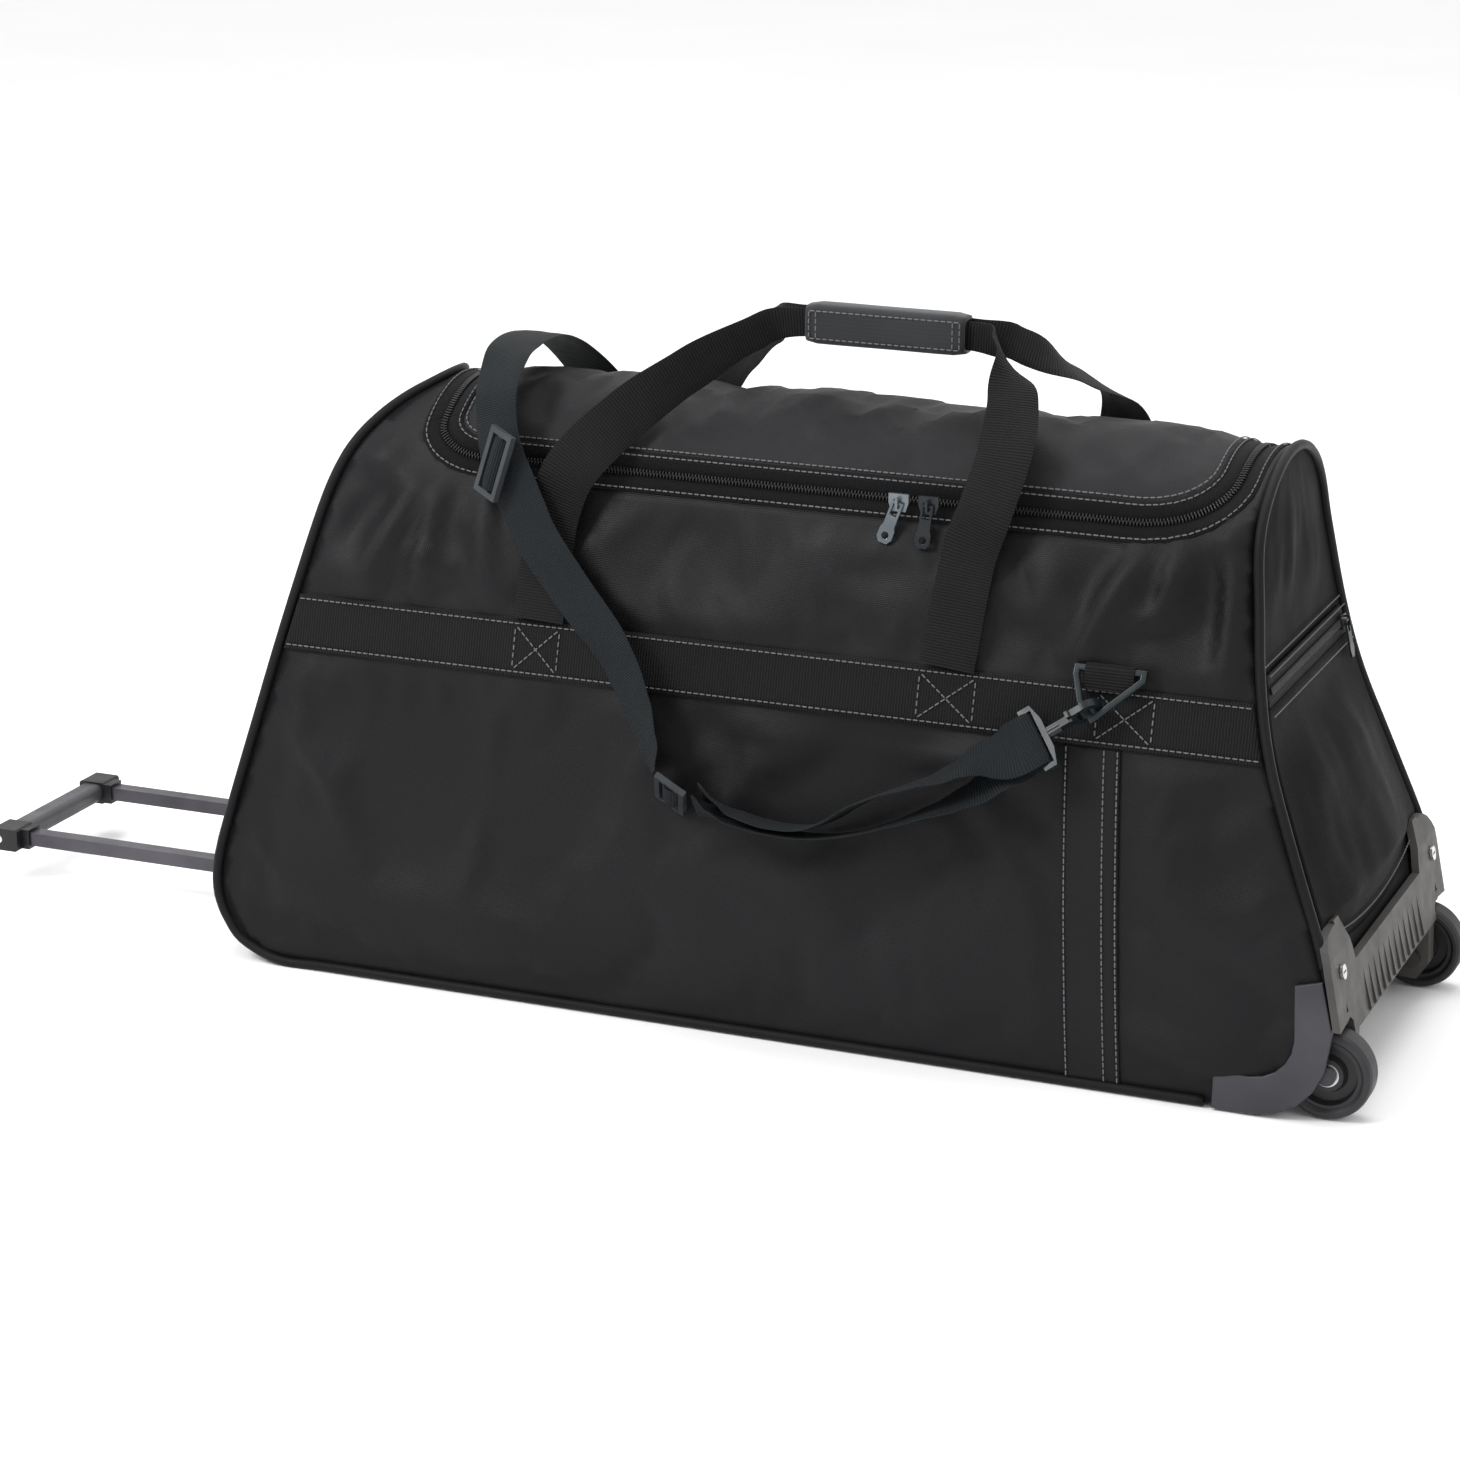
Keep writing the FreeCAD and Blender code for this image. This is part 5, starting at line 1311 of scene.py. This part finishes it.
# ---------------------------------------------------------------- shoulder strap
STRAP_PATH = [
    ((40, -154.5, 180), (0.3, -0.75, 0.6)), ((34, -149, 196), (0.6, -0.68, 0.42)),
    ((22, -140, 220), (0.74, -0.55, 0.39)), ((8, -133, 244), (0.79, -0.46, 0.4)),
    ((-7, -129, 264), (0.83, -0.35, 0.43)), ((-25, -124, 281), (0.85, -0.28, 0.45)),
    ((-45, -118, 301), (0.86, -0.26, 0.44)), ((-65, -112, 323), (0.86, -0.22, 0.46)),
    ((-77, -106, 340), (0.85, -0.17, 0.5)), ((-87, -100, 354), (0.77, -0.12, 0.6)),
    ((-97, -94, 368), (0.75, -0.1, 0.65)), ((-104, -88, 381), (0.82, -0.15, 0.55)),
    ((-110, -79, 395), (0.9, -0.25, 0.3)), ((-114, -69, 413), (0.93, -0.3, 0.15)),
    ((-117, -50, 428), (0.95, -0.3, 0.1)), ((-120, -27, 436), (0.97, -0.2, 0)),
    ((-121, 0, 438), (1, -0.1, 0)), ((-120, 28, 434), (1, 0, 0)),
    ((-115, 54, 420), (1, 0, 0)), ((-104, 81, 393), (1, 0, 0.1)),
    ((-86, 101, 356), (0.95, 0, 0.3)), ((-62, 110, 325), (0.87, 0.15, 0.45)),
    ((-42, 119, 296), (0.86, 0.26, 0.44)), ((-22, 127, 266), (0.86, 0.3, 0.44)),
    ((-5, 135, 236), (0.82, 0.45, 0.42)), ((6, 145, 206), (0.7, 0.65, 0.35)),
    ((8, 153, 182), (0.4, 0.9, 0.3)), ((-3, 156.4, 163), (0, 0.98, 0.2)),
    ((-27, 156.4, 154), (0, 0.98, 0.2)), ((-54, 156, 160), (0, 0.98, 0.1)),
    ((-77, 150, 181), (-0.15, 0.9, -0.3)), ((-96, 142, 206), (-0.2, 0.75, -0.6)),
]
LOOP_LOWER = [
    ((70, -155, 162), (0.2, -0.76, 0.62)), ((84, -156, 157), (0.1, -0.9, 0.43)),
    ((101, -156.4, 153.5), (0, -0.97, 0.25)), ((125, -156.4, 151), (0, -0.98, 0.2)),
    ((153, -156.4, 151), (0, -0.98, 0.2)), ((181, -156.4, 156), (0, -0.98, 0.2)),
    ((206, -155.5, 165), (0.05, -0.98, 0.15)), ((232, -154, 177), (0.1, -0.98, 0.05)),
    ((256, -151, 189), (0.15, -0.97, -0.15)), ((274, -147, 201), (0.2, -0.88, -0.4)),
]
LOOP_UPPER = [
    ((268, -146, 217), (0.2, -0.9, -0.35)), ((250, -151, 207), (0.1, -0.98, -0.1)),
    ((228, -154, 197), (0.05, -0.98, 0.1)), ((204, -155.5, 187), (0, -0.98, 0.15)),
    ((184, -156.4, 176), (0, -0.98, 0.2)), ((167, -156.4, 164), (0, -0.98, 0.2)),
    ((149, -156.4, 156.5), (0, -0.98, 0.2)), ((125, -156.4, 155.5), (0, -0.98, 0.2)),
    ((102, -156.4, 160), (0, -0.97, 0.25)), ((87, -156, 166), (0.1, -0.9, 0.43)),
    ((74, -155, 172), (0.2, -0.76, 0.62)),
]
STRAP_MIDDLE = 95
BAR, BAR_TURN, BAR_TAIL = -11.2, 4.5, 14


def wide(path):
    return [(centre, across, WIDE) for centre, across in path]


def joint(name):
    return next(j for j in frame["joints"] if j["name"] == name)


def swivel_frame():
    """Places in millimetres: local X runs from the swivel to the eye, local Y is its bar."""
    turn = joint("swivel_turn_front")
    run = Vector(turn["axis"]).normalized()
    side = square_to(run, Vector(joint("hook_swing_front")["axis"]).normalized())
    return Vector(turn["pos_m"]) / MM, run, side, run.cross(side)


def around_swivel():
    """Stations of webbing that wraps the swivel's bar."""
    origin, run, side, normal = swivel_frame()
    local = [(BAR - BAR_TAIL, BAR_TURN + 1.5)]
    for angle in (90, 45, 0, -45, -90):
        t = math.radians(angle)
        local.append((BAR + BAR_TURN * math.cos(t), BAR_TURN * math.sin(t)))
    local.append((BAR - BAR_TAIL, -BAR_TURN - 1.5))
    return [(tuple(origin + run * a - normal * b), tuple(-side), WIDE) for a, b in local]


def turned(stations):
    """The same stations a half turn round the bag."""
    return [((2 * STRAP_MIDDLE - x, -y, z), (-a, -b, c), width)
            for (x, y, z), (a, b, c), width in stations]


FOLD_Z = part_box("lid_panel")[0].z - 0.005


def strap_part(piece, name, above, side=0):
    """A copy of the strap cut at the fold: what is above it, or what is below on one side."""
    mesh = bmesh.new()
    mesh.from_mesh(piece.data)
    geometry = mesh.verts[:] + mesh.edges[:] + mesh.faces[:]
    bmesh.ops.bisect_plane(mesh, geom=geometry, plane_co=(0, 0, FOLD_Z), plane_no=(0, 0, 1),
                           clear_inner=above, clear_outer=not above)
    if side:
        gone = [v for v in mesh.verts if v.co.y * side < 0]
        bmesh.ops.delete(mesh, geom=gone, context="VERTS")
    data = piece.data.copy()
    mesh.to_mesh(data)
    mesh.free()
    made = bpy.data.objects.new(name, data)
    bpy.context.scene.collection.objects.link(made)
    return finish_piece(made, "bag", ("shoulder_strap_long",))


long_path = wide(STRAP_PATH) + turned(around_swivel())
long_strap = webbing_strip("long_strap", long_path, THIN, STRAP, 0.0035, 0.0006)
strap_part(long_strap, "long_strap_front", False, -1)
strap_part(long_strap, "long_strap_back", False, 1)
strap_top = strap_part(long_strap, "long_strap_top", True)
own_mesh(strap_top)
bpy.data.objects.remove(long_strap)
loop_path = wide(LOOP_LOWER) + around_swivel() + wide(LOOP_UPPER)
loop_strap = webbing_strip("loop_strap_webbing", loop_path, THIN, STRAP, 0.0035, 0.0005)
finish_piece(loop_strap, "bag", ("shoulder_strap_loop",))
GLIDE_RISE = ((-10.5, 0.2), (-7.4, 1.8), (-5.0, 4.6), (-2.7, 6.8), (0, 7.3),
              (2.7, 6.8), (5.0, 4.6), (7.4, 1.8), (10.5, 0.2))


def glide_webbing(name, centre, run, across):
    """The webbing that shows where it passes over a tri-glide's middle bar."""
    run = Vector(run).normalized()
    across = square_to(run, Vector(across))
    out = run.cross(across)
    stations = [(Vector(centre) + run * along_by + out * lift, across, WIDE)
                for along_by, lift in GLIDE_RISE]
    finish_piece(webbing_strip(name, stations, THIN, STRAP, 0.002), "bag")


glide_webbing("glide_webbing_upper", (-99, -98.6, 368.8), (21, -12, -6), (0.34, 0, 0.94))
glide_webbing("glide_webbing_lower", (55, -155, 171), (0.87, 0, -0.49), (0.2, -0.76, 0.62))


# ---------------------------------------------------------------- D-ring tabs
TAB_WIDE = 33
TAB_THIN = 0.0014
TAB_PATH = ((4.4, -13.0), (3.6, -6.0), (3.4, 0.0), (2.4, 2.4), (0, 3.4), (-2.4, 2.4), (-3.2, 0),
            (-2.6, -6.0), (-1.0, -13.0))
for side_name, sign in (("front", 1), ("back", -1)):
    bar = Vector(joint("ring_swing_" + side_name)["pos_m"]) / MM
    tab = [((bar.x, bar.y - sign * out, bar.z + up), (sign, 0, 0), TAB_WIDE) for out, up in TAB_PATH]
    piece = webbing_strip("ring_tab_" + side_name, tab, TAB_THIN, WEBBING, 0.0015)
    finish_piece(piece, "bag", ("d_ring_tabs",))


# ---------------------------------------------------------------- camera, floor and light
CAMERA_TARGET = Vector((0.0325, 0.0, 0.1666))
CAMERA_AZIMUTH = math.radians(22.0881)
CAMERA_HEIGHT = math.radians(16.9871)
CAMERA_ROLL = math.radians(0.3441)
CAMERA_DISTANCE = 2.8384
SENSOR = 36.0
FOCAL_SHARE = 4007.13 / 1460
FLOOR_HALF = 8
FLOOR_Z = -0.0005

back = Vector((
    math.sin(CAMERA_AZIMUTH) * math.cos(CAMERA_HEIGHT),
    -math.cos(CAMERA_AZIMUTH) * math.cos(CAMERA_HEIGHT),
    math.sin(CAMERA_HEIGHT),
))
camera_data = bpy.data.cameras.new("camera")
camera_data.sensor_width = SENSOR
camera_data.lens = SENSOR * FOCAL_SHARE
camera_data.clip_start = 0.05
camera = bpy.data.objects.new("camera", camera_data)
bpy.context.scene.collection.objects.link(camera)
right = Z_AXIS.cross(back).normalized()
up = back.cross(right)
look = Matrix((right, up, back)).transposed()
camera.matrix_world = (
    Matrix.Translation(CAMERA_TARGET + back * CAMERA_DISTANCE)
    @ look.to_4x4()
    @ Matrix.Rotation(CAMERA_ROLL, 4, "Z")
)
bpy.context.scene.camera = camera

floor_material, floor_tree, floor_shader = new_material("floor")
floor_tone = ramp(floor_tree, noise_at(floor_tree, frame_place(floor_tree), 3.0, 2.0),
                  (0.90,) * 3, (0.94,) * 3)
floor_tree.links.new(floor_tone, floor_shader.inputs["Base Color"])
set_inputs(floor_shader, Roughness=0.9, Specular_IOR_Level=0.1)
floor_corners = [(x * FLOOR_HALF, y * FLOOR_HALF, FLOOR_Z)
                 for x, y in ((-1, -1), (1, -1), (1, 1), (-1, 1))]
mesh_piece("floor", floor_corners, [(0, 1, 2, 3)], floor_material)

world = bpy.data.worlds.new("studio")
world.use_nodes = True
set_inputs(world.node_tree.nodes["Background"], Color=(1, 1, 1, 1), Strength=1.0)
bpy.context.scene.world = world
bpy.context.scene.view_settings.view_transform = "Standard"


def area_light(name, place, target, size, power):
    data = bpy.data.lights.new(name, "AREA")
    data.shape = "SQUARE"
    data.size = size
    data.energy = power
    light = bpy.data.objects.new(name, data)
    light.location = place
    light.rotation_euler = (Vector(target) - Vector(place)).to_track_quat("-Z", "Y").to_euler()
    bpy.context.scene.collection.objects.link(light)


area_light("key", (-1.6, -1.8, 2.4), (0.05, 0, 0.2), 1.1, 72)
area_light("fill", (2.6, -1.4, 1.6), (0.2, 0, 0.2), 1.4, 9)
area_light("top", (0.2, 0.6, 2.8), (0.1, 0, 0.3), 1.8, 40)
